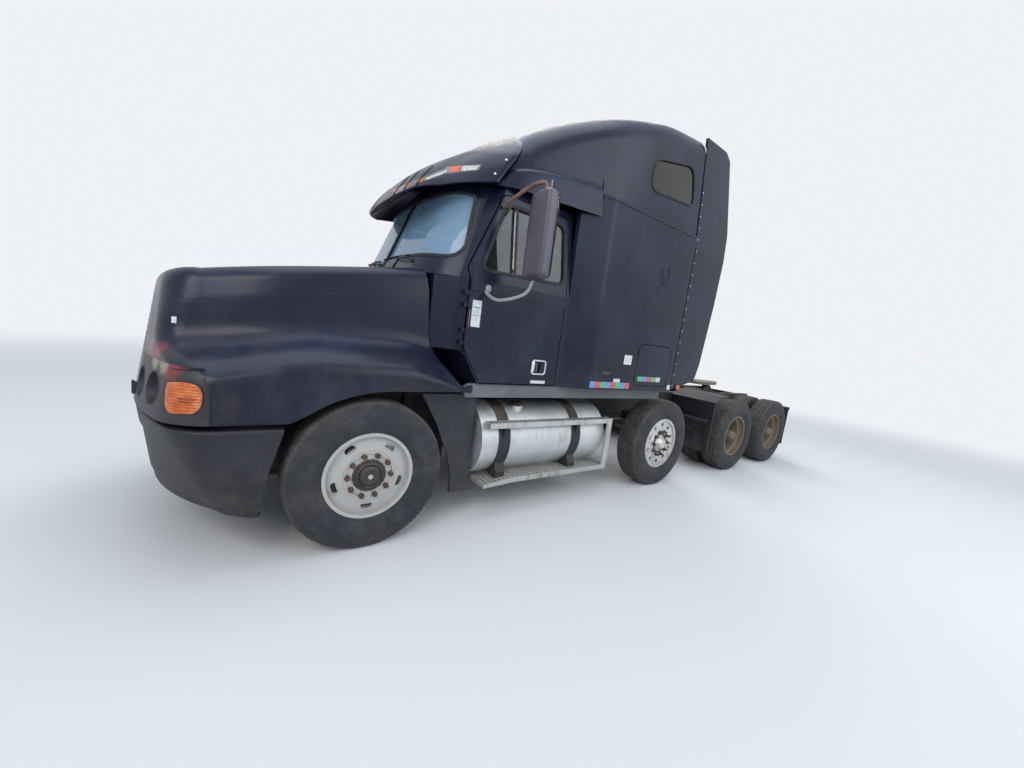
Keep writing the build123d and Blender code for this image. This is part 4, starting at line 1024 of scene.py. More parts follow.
hoodSurface = hoodGrid()
chinX, chinZ = np.meshgrid(np.linspace(0.41, -0.41, 40), np.linspace(0.900, 0.962, 4), indexing="ij")
chin = shellOf(place(chinX, faceStation(chinX, chinZ), chinZ), bonnet["skin"], -1)
solidObject("hood_chin", outwards(chin), "paint", "hood", sharp=32)
hoodPiece = solidObject("hood_skin", shellOf(hoodSurface, bonnet["skin"], -1), "paint", "hood",
                        ["hood"], sharp=32)
hoodTree = treeOf(hoodPiece)
bezelPiece = solidObject("bezel_skin", shellOf(hoodSurface, bonnet["bezelSkin"], -1), "bezel", "hood",
                         ["lamp_bezels"], sharp=32)
print("bonnet worked out")

# Black bezel round the lamps, its buckets and lamps

lampSpots = [(0.870, 1.050), (0.610, 1.040)]
lampShape = {"radius": 0.090, "depth": 0.098, "wall": 0.006, "steps": 40}
bezelLoop = roundedPolygon([(-1.5, 0.86), (-0.86, 0.86), (-0.86, 1.205), (-1.5, 1.205)], [0, 0, 0.13, 0], 9)
bezelZone = merged([prismAlong("x", bezelLoop, 0.5, 1.3), prismAlong("x", bezelLoop, -1.3, -0.5)])
carved(hoodPiece, "DIFFERENCE", bezelZone, folded=True)
carved(bezelPiece, "INTERSECT", bezelZone, folded=True)
around = circleAngles(lampShape["steps"])
circle = np.stack([np.cos(around), np.sin(around)], -1)
lampCentres = [(sign * x, z) for x, z in lampSpots for sign in (1, -1)]
holes = [prismAlong("y", np.array(at) + lampShape["radius"] * circle, -1.5, -0.95) for at in lampCentres]
carved(bezelPiece, "DIFFERENCE", merged(holes))


def bucket(cx, cz):
    # A cup behind a round hole: its lip follows the leaning face, its back is square to the road
    back = faceStation(cx, cz) + lampShape["depth"]
    r, wall = lampShape["radius"], lampShape["wall"]
    rows = [(r + wall, 0.012, 0), (r + wall, -0.002, 0), (r - 0.001, -0.002, 0), (r - 0.004, 0.020, 0),
            (r - 0.004, back, 1), (0.002, back, 1), (0.002, back + wall, 1), (r, back + wall, 1)]
    grid = []
    for radius, depth, fixed in rows:
        x, z = cx + radius * np.cos(around), cz + radius * np.sin(around)
        grid.append(place(x, depth if fixed else faceStation(x, z) + depth, z))
    return outwards((np.concatenate(grid), [gridFaces(len(rows), len(around), True, True)]))


buckets = merged([bucket(*at) for at in lampCentres])
solidObject("lamp_buckets", buckets, "plastic", "hood", sharp=40)

# Roof cap

roof = {
    # station, half width at the skirt, half width at the shoulder, height, corner radius
    "sections": [(0.700, 0.890, 0.810, 2.800, 0.10), (0.816, 0.960, 0.860, 2.930, 0.17),
                 (1.012, 1.030, 0.915, 3.125, 0.24), (1.305, 1.075, 0.970, 3.335, 0.25),
                 (1.697, 1.130, 1.030, 3.535, 0.24), (2.059, 1.188, 1.080, 3.678, 0.23),
                 (2.392, 1.193, 1.098, 3.790, 0.23), (2.784, 1.196, 1.105, 3.888, 0.23),
                 (3.340, 1.196, 1.108, 3.950, 0.23)],
    "front": 0.700, "rear": 3.340, "skirtLow": 2.700, "wallLow": 2.890, "skirtEnd": 1.820,
    "crown": 0.014, "rearRoll": 0.045, "skin": 0.014,
    # the moulded band's upper line, and how far it stands out
    "band": [(0.90, 2.78), (0.96, 2.835), (1.10, 2.880), (1.26, 2.905), (1.55, 2.930), (1.85, 2.940)],
    "proud": 0.014,
    "window": [(2.440, 3.125), (2.475, 3.420), (3.120, 3.560), (3.180, 3.170)],
    "windowRadii": [0.10, 0.10, 0.13, 0.10],
}


def roofSection(s):
    base, shoulder, top, radius = np.moveaxis(follow(roof["sections"], s), -1, 0)
    low = np.where(s < roof["skirtEnd"], roof["skirtLow"], roof["wallLow"])
    xLow = base + (shoulder - base) * (low - roof["skirtLow"]) / (top - roof["skirtLow"])
    lines = [(xLow, low), (shoulder, top), (0 * top, top + roof["crown"])]
    corners = np.stack([np.stack(line, -1) for line in lines])
    points, _ = softCorners(corners, [0, radius[:, None], 0], 18, 26)
    band = follow(roof["band"], s)[..., 0]
    x, z = points[..., 0], points[..., 1]
    started = np.clip((s - roof["band"][0][0]) / 0.10, 0, 1)
    side = ease(band + 0.012 - z, 0, 0.024) * started * (s < roof["skirtEnd"])
    return np.stack([x + roof["proud"] * side, z], -1)


def roofGrid():
    # The walls step up where the skirt ends, so the stations stop just short of that line on either side
    rear, roll, stepAt = roof["rear"], roof["rearRoll"], roof["skirtEnd"]
    stations = np.concatenate([np.linspace(roof["front"], stepAt - 0.001, 44),
                               np.linspace(stepAt + 0.001, rear - roll, 44)])
    body = np.moveaxis(roofSection(stations), 0, 1)
    rows = [place(body[..., 0], stations[:, None], body[..., 1])]
    rim = body[-1]
    way = np.array([0.0, roof["wallLow"] + 0.02]) - rim
    far = np.linalg.norm(way, axis=1, keepdims=True)
    way /= far
    for angle in np.linspace(0, np.pi / 2, 6)[1:]:
        x, z = (rim + way * roll * (1 - math.cos(angle))).T
        rows.append(place(x, rear - roll + roll * math.sin(angle), z)[None])
    for t in np.linspace(0, 0.995, 8)[1:]:
        x, z = (rim + way * (roll + (far - roll) * t)).T
        rows.append(place(x, rear, z)[None])
    return bothHalves(np.concatenate(rows))


roofPiece = solidObject("roof_skin", shellOf(roofGrid(), roof["skin"]), "paint", "chassis",
                        ["roof_cap"], sharp=40)
roofTree = treeOf(roofPiece)
windowLoop = roundedPolygon(roof["window"], roof["windowRadii"], 9)
carved(roofPiece, "DIFFERENCE", merged([prismAlong("x", windowLoop, low, low + 0.5) for low in (0.9, -1.4)]))
print("roof worked out")

# Sun visor

visor = {
    # height, then the plan's middle station, quarter point and end point
    "levels": [(2.560, 0.250, 0.560, 0.300, 0.985, 0.700), (2.640, 0.290, 0.560, 0.340, 0.995, 0.745),
               (2.720, 0.345, 0.560, 0.398, 1.000, 0.800), (2.810, 0.425, 0.540, 0.478, 1.000, 0.850),
               (2.920, 0.550, 0.500, 0.605, 0.995, 0.920), (3.020, 0.695, 0.420, 0.745, 0.950, 0.988),
               (3.105, 0.838, 0.320, 0.872, 0.870, 1.035), (3.190, 0.995, 0.220, 1.012, 0.745, 1.080)],
    # half width, height of the lower edge
    "lip": [(0.0, 2.572), (0.2, 2.577), (0.5, 2.592), (0.8, 2.616), (0.91, 2.660), (1.01, 2.704)],
    # height, station of the rear edge
    "rear": [(2.690, 0.800), (2.960, 0.985), (3.040, 1.040), (3.240, 1.140)],
    "top": 3.185, "skin": 0.008, "columns": 40, "rows": 44,
}


def visorPlan(z, t):
    # Half plan at heights z: t runs 0..1 from the middle round to the side's rear edge
    front, xq, yq, xe, ye = np.moveaxis(follow(visor["levels"], z), -1, 0)
    rearEdge = np.maximum(np.interp(z, *np.array(visor["rear"]).T), ye + 0.01)
    bulge = ((xq + xe) / 2 + 0.12 * (ye - yq), (yq + ye) / 2 - 0.12 * (xe - xq))
    knots = [(-xq, yq), (0 * xq, front), (xq, yq), bulge, (xe, ye), (xe + 0.004, rearEdge)]
    knots = np.stack([np.stack(k, -1) for k in knots])
    last = len(knots) - 1
    shares = np.array([0.0, 0.42, 0.72, 0.94, 1.0])
    k = np.clip(np.searchsorted(shares, t, side="right") - 1, 0, last - 2)
    local = ((t - shares[k]) / (shares[k + 1] - shares[k]))[..., None]
    own = np.indices(z.shape)

    def knotAt(j):
        return knots[(j, *own)]

    def wayAt(j):
        through = (knotAt(np.minimum(j + 1, last)) - knotAt(j - 1)) * 0.5
        return np.where((j < last)[..., None], through, knots[last] - knots[last - 1])

    return hermite(local, knotAt(k + 1), knotAt(k + 2), wayAt(k + 1), wayAt(k + 2))


def visorGrid():
    t = np.linspace(0, 1, visor["columns"])
    lowest = np.full(len(t), 2.6)
    for _ in range(4):
        lowest = np.interp(visorPlan(lowest, t)[..., 0], *np.array(visor["lip"]).T)
    z = lowest + (visor["top"] - lowest) * np.linspace(0, 1, visor["rows"])[:, None]
    plan = visorPlan(z, np.broadcast_to(t, z.shape))
    return bothHalves(place(plan[..., 0], plan[..., 1], z)[:, ::-1])


visorSurface = visorGrid()
visorTree = treeOf(solidObject("visor_skin", shellOf(visorSurface, visor["skin"], -1), "paint", "chassis",
                               ["sun_visor"], sharp=40))
print("visor worked out")

# Bumper

bumper = {
    # station of the front, radius of its bow and of its corners, at the lower and the upper edge
    "bottom": (-1.210, 1.450, 0.20), "top": (-1.275, 2.450, 0.15), "low": 0.330, "high": 0.870,
    # height, station of the side's rear end
    "half": 1.165, "rear": [(0.310, -0.634), (0.600, -0.587), (0.850, -0.515), (0.890, -0.515)],
    # the upper band stands proud up to this station, and the lower edge is tucked in
    "proud": 0.010, "raisedEnd": -0.87, "tuck": 0.010, "skin": 0.010,
}


def bumperPlan(share, rear):
    # Half plan from the side's rear end round the corner to the middle: an arc, a bend and a straight
    # side, cut at the rear and divided evenly
    front, bow, corner = (low + (high - low) * share for low, high in zip(bumper["bottom"], bumper["top"]))
    half = bumper["half"]
    start = half - corner
    xs = np.linspace(0, start, 50)
    arc = np.stack([xs, front + bow - np.sqrt(bow**2 - xs**2)], -1)
    lead = np.array([half - 0.15 * corner, arc[-1, 1] + 0.42 * corner])
    bendEnd = np.array([half, arc[-1, 1] + 1.4 * corner])
    bend = bent(arc[-1], lead, bendEnd, np.linspace(0, 1, 30)[1:, None])
    side = np.column_stack([np.full(12, half), np.linspace(bend[-1, 1], -0.30, 13)[1:]])
    line = np.concatenate([arc, bend, side])
    far = np.concatenate([[0], np.cumsum(np.linalg.norm(np.diff(line, axis=0), axis=1))])
    end = np.interp(rear, line[:, 1], far)
    at = np.linspace(end, 0, 72)
    return np.stack([np.interp(at, far, line[:, 0]), np.interp(at, far, line[:, 1])], -1)


def bumperGrid():
    levels = np.concatenate([[0.330, 0.332, 0.338, 0.346, 0.36], np.linspace(0.38, 0.74, 22),
                             np.linspace(0.746, 0.766, 7), np.linspace(0.78, 0.845, 6),
                             [0.855, 0.862, 0.867, 0.870]])
    rears = np.interp(levels, *np.array(bumper["rear"]).T)
    shares = (levels - bumper["low"]) / (bumper["high"] - bumper["low"])
    grid = []
    for z, rear, share in zip(levels, rears, shares):
        x, station = bumperPlan(share, rear).T
        grid.append(place(x, station, z))
    grid = np.stack(grid)
    normal = gridNormals(grid, 1)
    normal *= np.sign((normal[..., :1] * grid[..., :1] - normal[..., 1:2]).mean())
    z, s = grid[..., 2], grid[..., 1] + middle
    end = -bumper["raisedEnd"]
    raised = ease(z, 0.750, 0.762) * ease(-s, end - 0.008, end + 0.008) * bumper["proud"]
    tucked = (1 - ease(z, 0.408, 0.422)) * bumper["tuck"]

    def roundedEdge(depth, beyond, radius):
        return depth * (1 - np.sqrt(np.clip(1 - (np.clip(beyond, 0, 1) / radius)**2, 0, 1)))

    edge = roundedEdge(0.016, z - 0.852, 0.0185) + roundedEdge(0.014, 0.346 - z, 0.0165)
    flat = normal * np.array([1, 1, 0])
    flat /= np.linalg.norm(flat, axis=-1, keepdims=True)
    grid = grid + flat * (raised - tucked - edge)[..., None]
    inward = grid[-1:] - flat[-1:] * 0.035
    inward[..., 2] += 0.002
    below = grid[:1] - flat[:1] * 0.05
    return bothHalves(np.concatenate([below, grid, inward]))


bumperSkin = shellOf(bumperGrid(), bumper["skin"])
solidObject("bumper_skin", bumperSkin, "plastic", "chassis", ["bumper"], sharp=30)
print("bumper worked out")

cabTree = treeOf(nodes["cab_shell"])
screenTree = treeOf(nodes["cab_shell"], nodes["cab_glass"])
doorTree = treeOf(nodes["door_left"])
sleeperTree = treeOf(nodes["sleeper_shell"])
hatchTree = treeOf(nodes["luggage_door_left"])
rearTree = treeOf(nodes["side_extenders"], nodes["sleeper_shell"])

# Screen: gasket, centre strip, wipers

screenHalf = [(0.920, 2.110), (0.932, 2.200), (0.850, 2.610), (0.016, 2.640)]
screenCorners = [(-x, z) for x, z in screenHalf][::-1] + screenHalf
screenLoop = roundedPolygon(screenCorners, [0.10, 0.05, 0.06, 0.06, 0.06, 0.06, 0.05, 0.10], 6)
screenLoop = grown(evenly(screenLoop, 149, True), 0.010)
solidObject("screen_gasket", strip(*fromFront(cabTree, screenLoop), 0.026, 0.007, True), "gasket", "chassis")
stripZ = np.linspace(2.085, 2.640, 24)
centreLine = fromFront(screenTree, np.column_stack([0 * stripZ, stripZ]))
solidObject("screen_strip", strip(*centreLine, 0.030, 0.008), "gasket", "chassis")

wiper = {"pivotZ": 2.055, "tipZ": 2.100, "bladeZ": 2.098, "bow": 0.012, "blade": (-0.12, 0.44),
         "section": [(-0.004, -0.003), (0.004, -0.003), (0.006, 0.006), (0.002, 0.016), (-0.002, 0.016),
                     (-0.006, 0.006)]}
wiperParts = []
for pivotX, tipX in ((0.62, 0.10), (-0.10, -0.62)):
    (pivot, tip), _ = fromFront(screenTree, [(pivotX, wiper["pivotZ"]), (tipX, wiper["tipZ"])])
    lift = np.array([0, -0.022, 0.006])
    arm = [pivot + lift * 0.4, pivot * 0.7 + tip * 0.3 + lift * 1.5, pivot * 0.4 + tip * 0.6 + lift * 1.2]
    bladeX = np.linspace(tipX + wiper["blade"][0], tipX + wiper["blade"][1], 20)
    bladeZ = wiper["bladeZ"] + wiper["bow"] * np.sin(np.linspace(0, np.pi, 20))
    blade, normals = fromFront(screenTree, np.column_stack([bladeX, bladeZ]))
    wiperParts += [tubeAlong(arm, 0.006, 8), swept(blade + normals * 0.004, wiper["section"], normals),
                   domesOn([pivot], [(0.0, -0.8, 0.6)], 0.020, 0.024, 14)]
solidObject("wipers", merged(wiperParts), "gasket", "chassis", sharp=40)

# Visor: orange markers in a dark outline, cream print left blank, straps, screws, shaded lip

visorSheets = [
    # name, finish, slot, lift, divisions, sheets of four pixels
    ("visor_markers", "orange", "amber_lens", 0.0016, (4, 6),
     [[(449.5, 167.2), (461.0, 165.6), (459.0, 171.4), (448.8, 172.4)],
      [(419.5, 179.3), (424.5, 177.5), (423.0, 181.0), (418.5, 182.6)],
      [(407.0, 184.0), (411.5, 181.8), (409.5, 185.6), (405.5, 187.8)],
      [(396.5, 189.4), (399.5, 187.6), (397.8, 191.0), (395.0, 192.8)]]),
    ("visor_print", "gloss", "black_plastic", 0.0008, (4, 14),
     [[(446.0, 167.0), (482.0, 164.0), (479.0, 170.5), (445.0, 173.8)],
      [(418.0, 179.0), (446.0, 168.5), (446.0, 173.6), (417.0, 184.0)],
      [(393.0, 190.0), (418.0, 179.0), (417.0, 184.0), (392.5, 195.0)]]),
    ("visor_cream", "cream", "grey_trim", 0.0014, (4, 10),
     [[(462.5, 165.9), (480.0, 165.6), (476.5, 169.8), (461.0, 171.2)],
      [(425.5, 177.8), (447.5, 170.0), (446.5, 172.6), (424.5, 180.6)]]),
]
for name, finish, slot, lift, shape, quads in visorSheets:
    sheets = [sticker(visorTree, quad, lift, shape) for quad in quads]
    solidObject(name, bothSides(*sheets), finish, "chassis")
strapLines = [[(433, 166.5), (424, 174.6), (417, 184), (415.6, 189.0)],
              [(419, 171.5), (410.5, 180.5), (404, 190), (402.6, 196.0)],
              [(409, 176.6), (401, 185), (394.5, 193), (392.8, 197.0)]]
straps = [strip(*seenOn(visorTree, curveThrough(line)), 0.013, 0.006) for line in strapLines]
solidObject("visor_straps", bothSides(*straps), "gasket", "chassis")
screws = domesOn(*seenOn(visorTree, [(506.3, 159.8), (495.1, 173.7)]), 0.011, 0.005, 12)
solidObject("visor_screws", bothSides(screws), "bright", "chassis", sharp=None)
lipSection = [(-0.009, -0.008), (0.007, -0.008), (0.010, 0.002), (0.004, 0.005), (-0.004, 0.005),
              (-0.010, 0.002)]
lipBead = swept(visorSurface[0], lipSection, gridNormals(visorSurface, -1)[0])
solidObject("visor_lip", lipBead, "paint", "chassis")

# Roof: upper window gaskets and the joint line

upperGasket = sideLine(roofTree, grown(evenly(windowLoop, 119, True), 0.006), 0.026, 0.009, True)
solidObject("upper_gaskets", bothSides(upperGasket), "gasket", "chassis")
jointLine = sideLine(sleeperTree, evenly([(1.86, 2.868), (3.30, 2.868)], 40), 0.020, 0.005)
solidObject("roof_joint", bothSides(jointLine), "paint", "chassis")

# Doors: window gasket and divider, handle, rusty edge, blank labels

windowCorners = [(0.735, 2.040), (0.940, 2.565), (1.545, 2.565), (1.560, 2.070)]
doorRing = grown(evenly(roundedPolygon(windowCorners, [0.05, 0.07, 0.07, 0.07], 7), 129, True), 0.009)
divider = sideLine(doorTree, evenly([(1.022, 2.070), (1.022, 2.560)], 24), 0.030, 0.007)
flakes = sideLine(doorTree, evenly([(1.006, 2.085), (1.006, 2.530)], 24), 0.007, 0.0105)
handle = {"middle": (1.396, 1.324), "size": (0.150, 0.118), "corner": 0.022,
          "paddle": (0.052, 0.092), "paddleCorner": 0.012, "paddleStation": 1.352}
ring, _ = fromLeft(doorTree, roundedOutline(*handle["size"], handle["corner"]) + handle["middle"])
ring[:, 0] = np.median(ring[:, 0])
paddle = moved(slab(roundedOutline(*handle["paddle"], handle["paddleCorner"]), 0.010, 0.003, 0.002),
               place(ring[0, 0] - 0.012, handle["paddleStation"], handle["middle"][1]), upright)
handleParts = merged([strip(ring, (1, 0, 0), 0.014, 0.006, True), paddle])
doorGasket = merged([sideLine(doorTree, doorRing, 0.024, 0.008, True), divider])
pairOf("door_gasket", doorGasket, "gasket", "door")
pairOf("window_flakes", flakes, "cream", "door")
pairOf("door_handle", handleParts, "bright", "door", sharp=40)
rustEdge = sideLine(doorTree, evenly([(0.655, 1.440), (0.655, 1.850)], 30), 0.007, 0.002)
solidObject("door_edge_rust", rustEdge, "armRust", "door_left")

plates = [
    # name, finish, body, tree, sheets of (stations, heights, lift, divisions)
    ("tall_label", "label", "door_left", doorTree,
     [((0.672, 0.752), (1.600, 1.800), 0.0008, (12, 6)), ((1.325, 1.490), (1.182, 1.208), 0.0008, (4, 10))]),
    ("tall_label_head", "labelGreen", "door_left", doorTree,
     [((0.676, 0.748), (1.742, 1.752), 0.0014, (3, 6)), ((0.676, 0.748), (1.684, 1.690), 0.0014, (3, 6))]),
    ("blank_labels", "label", "chassis", sleeperTree,
     [((2.400, 2.520), (1.425, 1.520), 0.0008, (6, 6)), ((2.285, 2.385), (1.240, 1.275), 0.0008, (4, 5)),
      ((3.235, 3.300), (1.180, 1.235), 0.0008, (4, 5))]),
    ("faint_label", "faintPrint", "chassis", sleeperTree, [((2.100, 2.215), (1.312, 1.336), 0.0006, (4, 8))]),
    ("bonnet_label", "label", "hood", hoodTree, [((-1.050, -1.028), (1.405, 1.440), 0.0008, (4, 4))]),
]

# The strips of coloured squares on the sleeper's lower edge and on its luggage door

squares = [
    # name, body, tree, first station, pitch, heights, colours in order
    ("squares", "chassis", sleeperTree, 1.955, 0.0745, (1.178, 1.238),
     "Blue Red Green Blue Red Green Blue Red".split()),
    ("hatch_squares", "luggage_door_left", hatchTree, 2.665, 0.082, (1.262, 1.312),
     "Green Blue Red Green Pale".split()),
]
for name, body, tree, first, pitch, heights, colours in squares:
    for colour in dict.fromkeys(colours):
        sheets = [((first + k * pitch, first + (k + 0.96) * pitch), heights, 0.0010, (4, 5))
                  for k, own in enumerate(colours) if own == colour]
        plates.append((f"{name}_{colour.lower()}", f"tile{colour}", body, tree, sheets))
for name, finish, body, tree, sheets in plates:
    solidObject(name, merged([sidePlate(tree, *sheet) for sheet in sheets]), finish, body)

# Sleeper side: vent, riveted seam, amber marker

seamLine = sideLine(sleeperTree, evenly([(3.318, 1.185), (3.318, 2.860)], 60), 0.010, 0.0025)
ventCorners = [(2.800, 2.290), (2.905, 2.290), (2.905, 2.470), (2.800, 2.470)]
ventRing = sideLine(sleeperTree, roundedPolygon(ventCorners, 0.045, 7), 0.014, 0.006, True)
solidObject("sleeper_seams", bothSides(seamLine, ventRing), "paint", "chassis")
rivetHits, rivetNormals = fromLeft(rearTree, [(3.330, z) for z in np.linspace(1.23, 3.36, 18)])
rivets = domesOn(rivetHits + rivetNormals * 0.001, rivetNormals, 0.0085, 0.004)
solidObject("seam_rivets", bothSides(rivets), "cream", "chassis", sharp=None)
markerAt = fromLeft(rearTree, [(3.43, 1.215)])[0][0]
markerBase = turnedSolid([(-0.002, 0.034), (0.006, 0.034), (0.009, 0.030)], 24)
markerDome = turnedSolid([(0.006, 0.029), (0.020, 0.027), (0.028, 0.018), (0.030, 0.006)], 24)
markerBase, markerDome = (bothSides(moved(part, markerAt)) for part in (markerBase, markerDome))
solidObject("marker_base", markerBase, "gasket", "chassis", sharp=None)
solidObject("marker_lens", markerDome, "amber", "chassis", sharp=None)

# Mirrors

mirror = {
    "x": (1.290, 1.510), "station": (0.925, 1.035), "z": (1.980, 2.620), "square": 4.5,
    "glass": (1.400, 2.300),
    # x, station, height
    "upper": [(0.985, 0.900, 2.540), (1.180, 0.892, 2.590), (1.330, 0.930, 2.648), (1.400, 0.972, 2.655),
              (1.404, 0.980, 2.600)],
    "lower": [(1.070, 0.790, 1.900), (1.110, 0.770, 1.862), (1.250, 0.800, 1.815), (1.370, 0.930, 1.880),
              (1.400, 0.975, 1.995)],
    "post": [(1.404, 0.980, 2.655), (1.404, 0.980, 2.60), (1.402, 0.980, 2.56)],
    "pin": [(1.452, 0.985, 2.668), (1.452, 0.985, 2.60), (1.452, 0.985, 2.58)],
    "upperFoot": (0.972, 0.900, 2.540), "lowerFoot": (1.088, 0.790, 1.900),
}


def mirrorBody():
    # Rounded housing: super-ellipse sections stacked up its height, closing over each end
    z0, z1 = mirror["z"]
    t = np.concatenate([np.linspace(0, 0.06, 9), np.linspace(0.09, 0.91, 22), np.linspace(0.94, 1, 9)])
    t = t[:, None]
    close = np.sqrt(np.clip(1 - (1 - np.clip(np.minimum(t, 1 - t) / 0.075, 0, 1))**2.2, 0, 1))
    grow = np.maximum(close, 0.02)
    narrow = 1 - 0.10 * np.clip((t - 0.80) / 0.2, 0, 1)
    a = circleAngles(48)
    cx, cy = (np.sign(v) * np.abs(v)**(2 / mirror["square"]) for v in (np.cos(a), np.sin(a)))
    halfX, halfY = np.diff(mirror["x"])[0] / 2, np.diff(mirror["station"])[0] / 2
    x = np.mean(mirror["x"]) + 0.012 * (1 - narrow) + halfX * cx * grow * narrow
    station = np.mean(mirror["station"]) + halfY * cy * grow
    return capped(place(x, station, z0 + (z1 - z0) * t))


def bracketFoot(width, height, at):
    return moved(slab(roundedOutline(width, height, 0.018), 0.012, 0.003), place(*at), upright)


def armAlong(name, radius, steps=12, steady=(0.12, 0.3, 0.95)):
    return tubeAlong([place(*at) for at in mirror[name]], radius, steps, steady)


glassX, glassZ = mirror["glass"]
glassPane = slab(roundedOutline(0.186, 0.560, 0.03), 0.004, 0.0012)
mirrorGlass = moved(glassPane, place(glassX, 1.0335, glassZ), facingBack)
rimLoop = roundedOutline(0.196, 0.572, 0.034)
rimPoints = np.column_stack([rimLoop, 0 * rimLoop[:, 0]])
rimLine, _ = moved((rimPoints, []), place(glassX, 1.0345, glassZ), facingBack)
upperArm = merged([armAlong("upper", 0.014), bracketFoot(0.050, 0.060, mirror["upperFoot"])])
lowerArm = merged([armAlong("lower", 0.012), bracketFoot(0.048, 0.056, mirror["lowerFoot"]),
                   armAlong("pin", 0.005, 8, (1, 0, 0))])
pairOf("mirror_housing", mirrorBody(), "mirror", "door", "mirror", sharp=40)
pairOf("mirror_glass", mirrorGlass, "mirrorGlass", "door", sharp=40)
pairOf("mirror_rim", strip(rimLine, (0, 1, 0), 0.010, 0.006, True), "gasket", "door")
pairOf("mirror_upper_arm", upperArm, "armRust", "door")
pairOf("mirror_lower_arm", lowerArm, "armPale", "door")
pairOf("mirror_post", armAlong("post", 0.016, 12, (1, 0, 0)), "mirror", "door")

# Bonnet: seam and the lugs it turns on

seamStations = np.linspace(-1.04, 0.40, 50)
seamHeights = follow(bonnet["top"], seamStations)[:, 1] - 0.002
bonnetSeam = sideLine(hoodTree, np.column_stack([seamStations, seamHeights]), 0.004, 0.0016)
solidObject("bonnet_seam", bothSides(bonnetSeam), "gasket", "hood")
# millimetres behind and above the pivot
lugShape = np.array([(-16, -16), (18, -22), (140, 42), (156, 103), (116, 161), (47, 190), (-70, 194),
                     (-120, 246), (-120, 156), (-50, 156), (20, 154), (76, 133), (115, 101), (99, 68),
                     (10, 20), (-16, 14)])
lug = prismAlong("x", roundedPolygon(lugShape / 1000, 0.012, 4) + (-1.140, 0.775), 0.438, 0.464)
solidObject("bonnet_lugs", bothSides(outwards(lug)), "steel", "hood", sharp=40)

# Turn lamps: ribbed lenses that wrap round the front corner

turnLamp = {
    "outline": [(168.0, 382.2), (176.0, 381.6), (188.0, 382.6), (197.5, 385.6), (202.3, 392.0),
                (202.8, 400.0), (200.8, 407.5), (194.5, 413.6), (182.0, 414.2), (170.0, 413.2),
                (166.2, 408.0), (165.2, 399.0), (166.4, 388.0)],
    "panel": [(179.5, 396.8), (194.0, 397.4), (194.0, 402.4), (179.5, 401.6)],
    "proud": 0.007, "ribs": 11, "ribDepth": 0.0030, "rings": 60, "steps": 140,
}


def lensOn(tree, outline):
    # Rings shrunk from the outline to its middle, each cast on the surface and lifted by a rounded edge
    # and fine ribs
    rings, count = turnLamp["rings"], turnLamp["steps"]
    loop = evenly(outline, count, True)
    centre = loop.mean(0)
    t = np.linspace(0.04, 1, rings)[:, None, None]
    hits, normals = (v.reshape(rings, count, 3) for v in seenOn(tree, centre + (loop - centre) * t))
    t, z = t[..., 0], hits[..., 2]
    lift = turnLamp["proud"] * np.sqrt(np.clip(1 - np.clip((t - 0.86) / 0.14, 0, 1)**2, 0, 1)) + 0.0008
    wave = np.cos((z - z.min()) / (z.max() - z.min()) * turnLamp["ribs"] * fullTurn)
    top = hits + normals * (lift + wave * (t < 0.90) * turnLamp["ribDepth"])[..., None]
    foot = hits[-1:] - normals[-1:] * 0.002
    return capped(np.concatenate([top, foot]), [top[0].mean(0), foot[0].mean(0)])


turnLoop = curveThrough(turnLamp["outline"] + turnLamp["outline"][:1], 6)[:-1]
turnGlass = bothSides(lensOn(hoodTree, turnLoop))
solidObject("turn_lens", turnGlass, "amber", "hood", ["turn_lamps"], sharp=60)
turnRim = strip(*seenOn(hoodTree, evenly(turnLoop, 89, True)), 0.007, 0.0045, True)
solidObject("turn_rim", bothSides(turnRim), "gasket", "hood", sharp=60)
turnPanel = bothSides(sticker(hoodTree, turnLamp["panel"], 0.0098, (3, 5)))
solidObject("turn_panel", turnPanel, "amberShade", "hood")

# Line of the bezel, and the faded patches of an older colour at the corner

bezelEdge = curveThrough([(204, 378.0), (207.4, 387.0), (209, 396.0), (209.6, 410.0), (209.4, 423.0)])
solidObject("bezel_edge", bothSides(strip(*seenOn(hoodTree, bezelEdge), 0.005, 0.003)), "gasket", "hood",
            sharp=60)
oldRed, oldCream = (0.28, 0.030, 0.045), (0.46, 0.40, 0.27)
cornerPatches = {
    # strength, then pixel, radius and colour of each patch
    "paint": (0.5, [((151, 351.5), 0.075, oldRed), ((158, 350.5), 0.060, oldRed)]),
    "bezel": (0.55, [((171, 368.0), 0.075, oldRed), ((164, 363.5), 0.060, oldCream),
                     ((156, 358.5), 0.065, oldCream)]),
}
for name, (strength, patches) in cornerPatches.items():
    # Torn at their edges by noise
    finish = finishes[name]
    torn = finish.cloud(45, 6, 0.8, stretch=(1, 1, 0.35))
    colour = finish.worn
    for pixel, radius, tint in patches:
        near = finish.ball(seenOn(hoodTree, pixel)[0][0], radius, radius * 0.95)
        colour = finish.blend(colour, tint, ((near * (torn + 0.45)).rise(0.30, 0.85) * strength).clamped())
    finish.colour(colour)

# Headlamps: a mirrored bowl behind a crowned glass; the left outer bucket has lost its lamp

ahead = axes((0, -1, 0), (1, 0, 0))
bowl = turnedSolid([(-0.052, 0.026), (-0.044, 0.046), (-0.028, 0.066), (-0.012, 0.080), (-0.006, 0.083)], 40)
glass = turnedSolid([(-0.005, 0.084), (0.002, 0.0845), (0.008, 0.080), (0.013, 0.066), (0.016, 0.044),
                     (0.0175, 0.020)], 40)
lampAt = [place(x, faceStation(x, z) + 0.052, z) for x, z in lampCentres[1:]]
bowls, glasses = (merged([moved(shape, at, ahead) for at in lampAt]) for shape in (bowl, glass))
solidObject("headlamp_bowls", bowls, "reflector", "hood")
solidObject("headlamp_glass", glasses, "lens", "hood", ["headlamps"])

# Seats: crowned cushions with sewn channels on a bellows stand

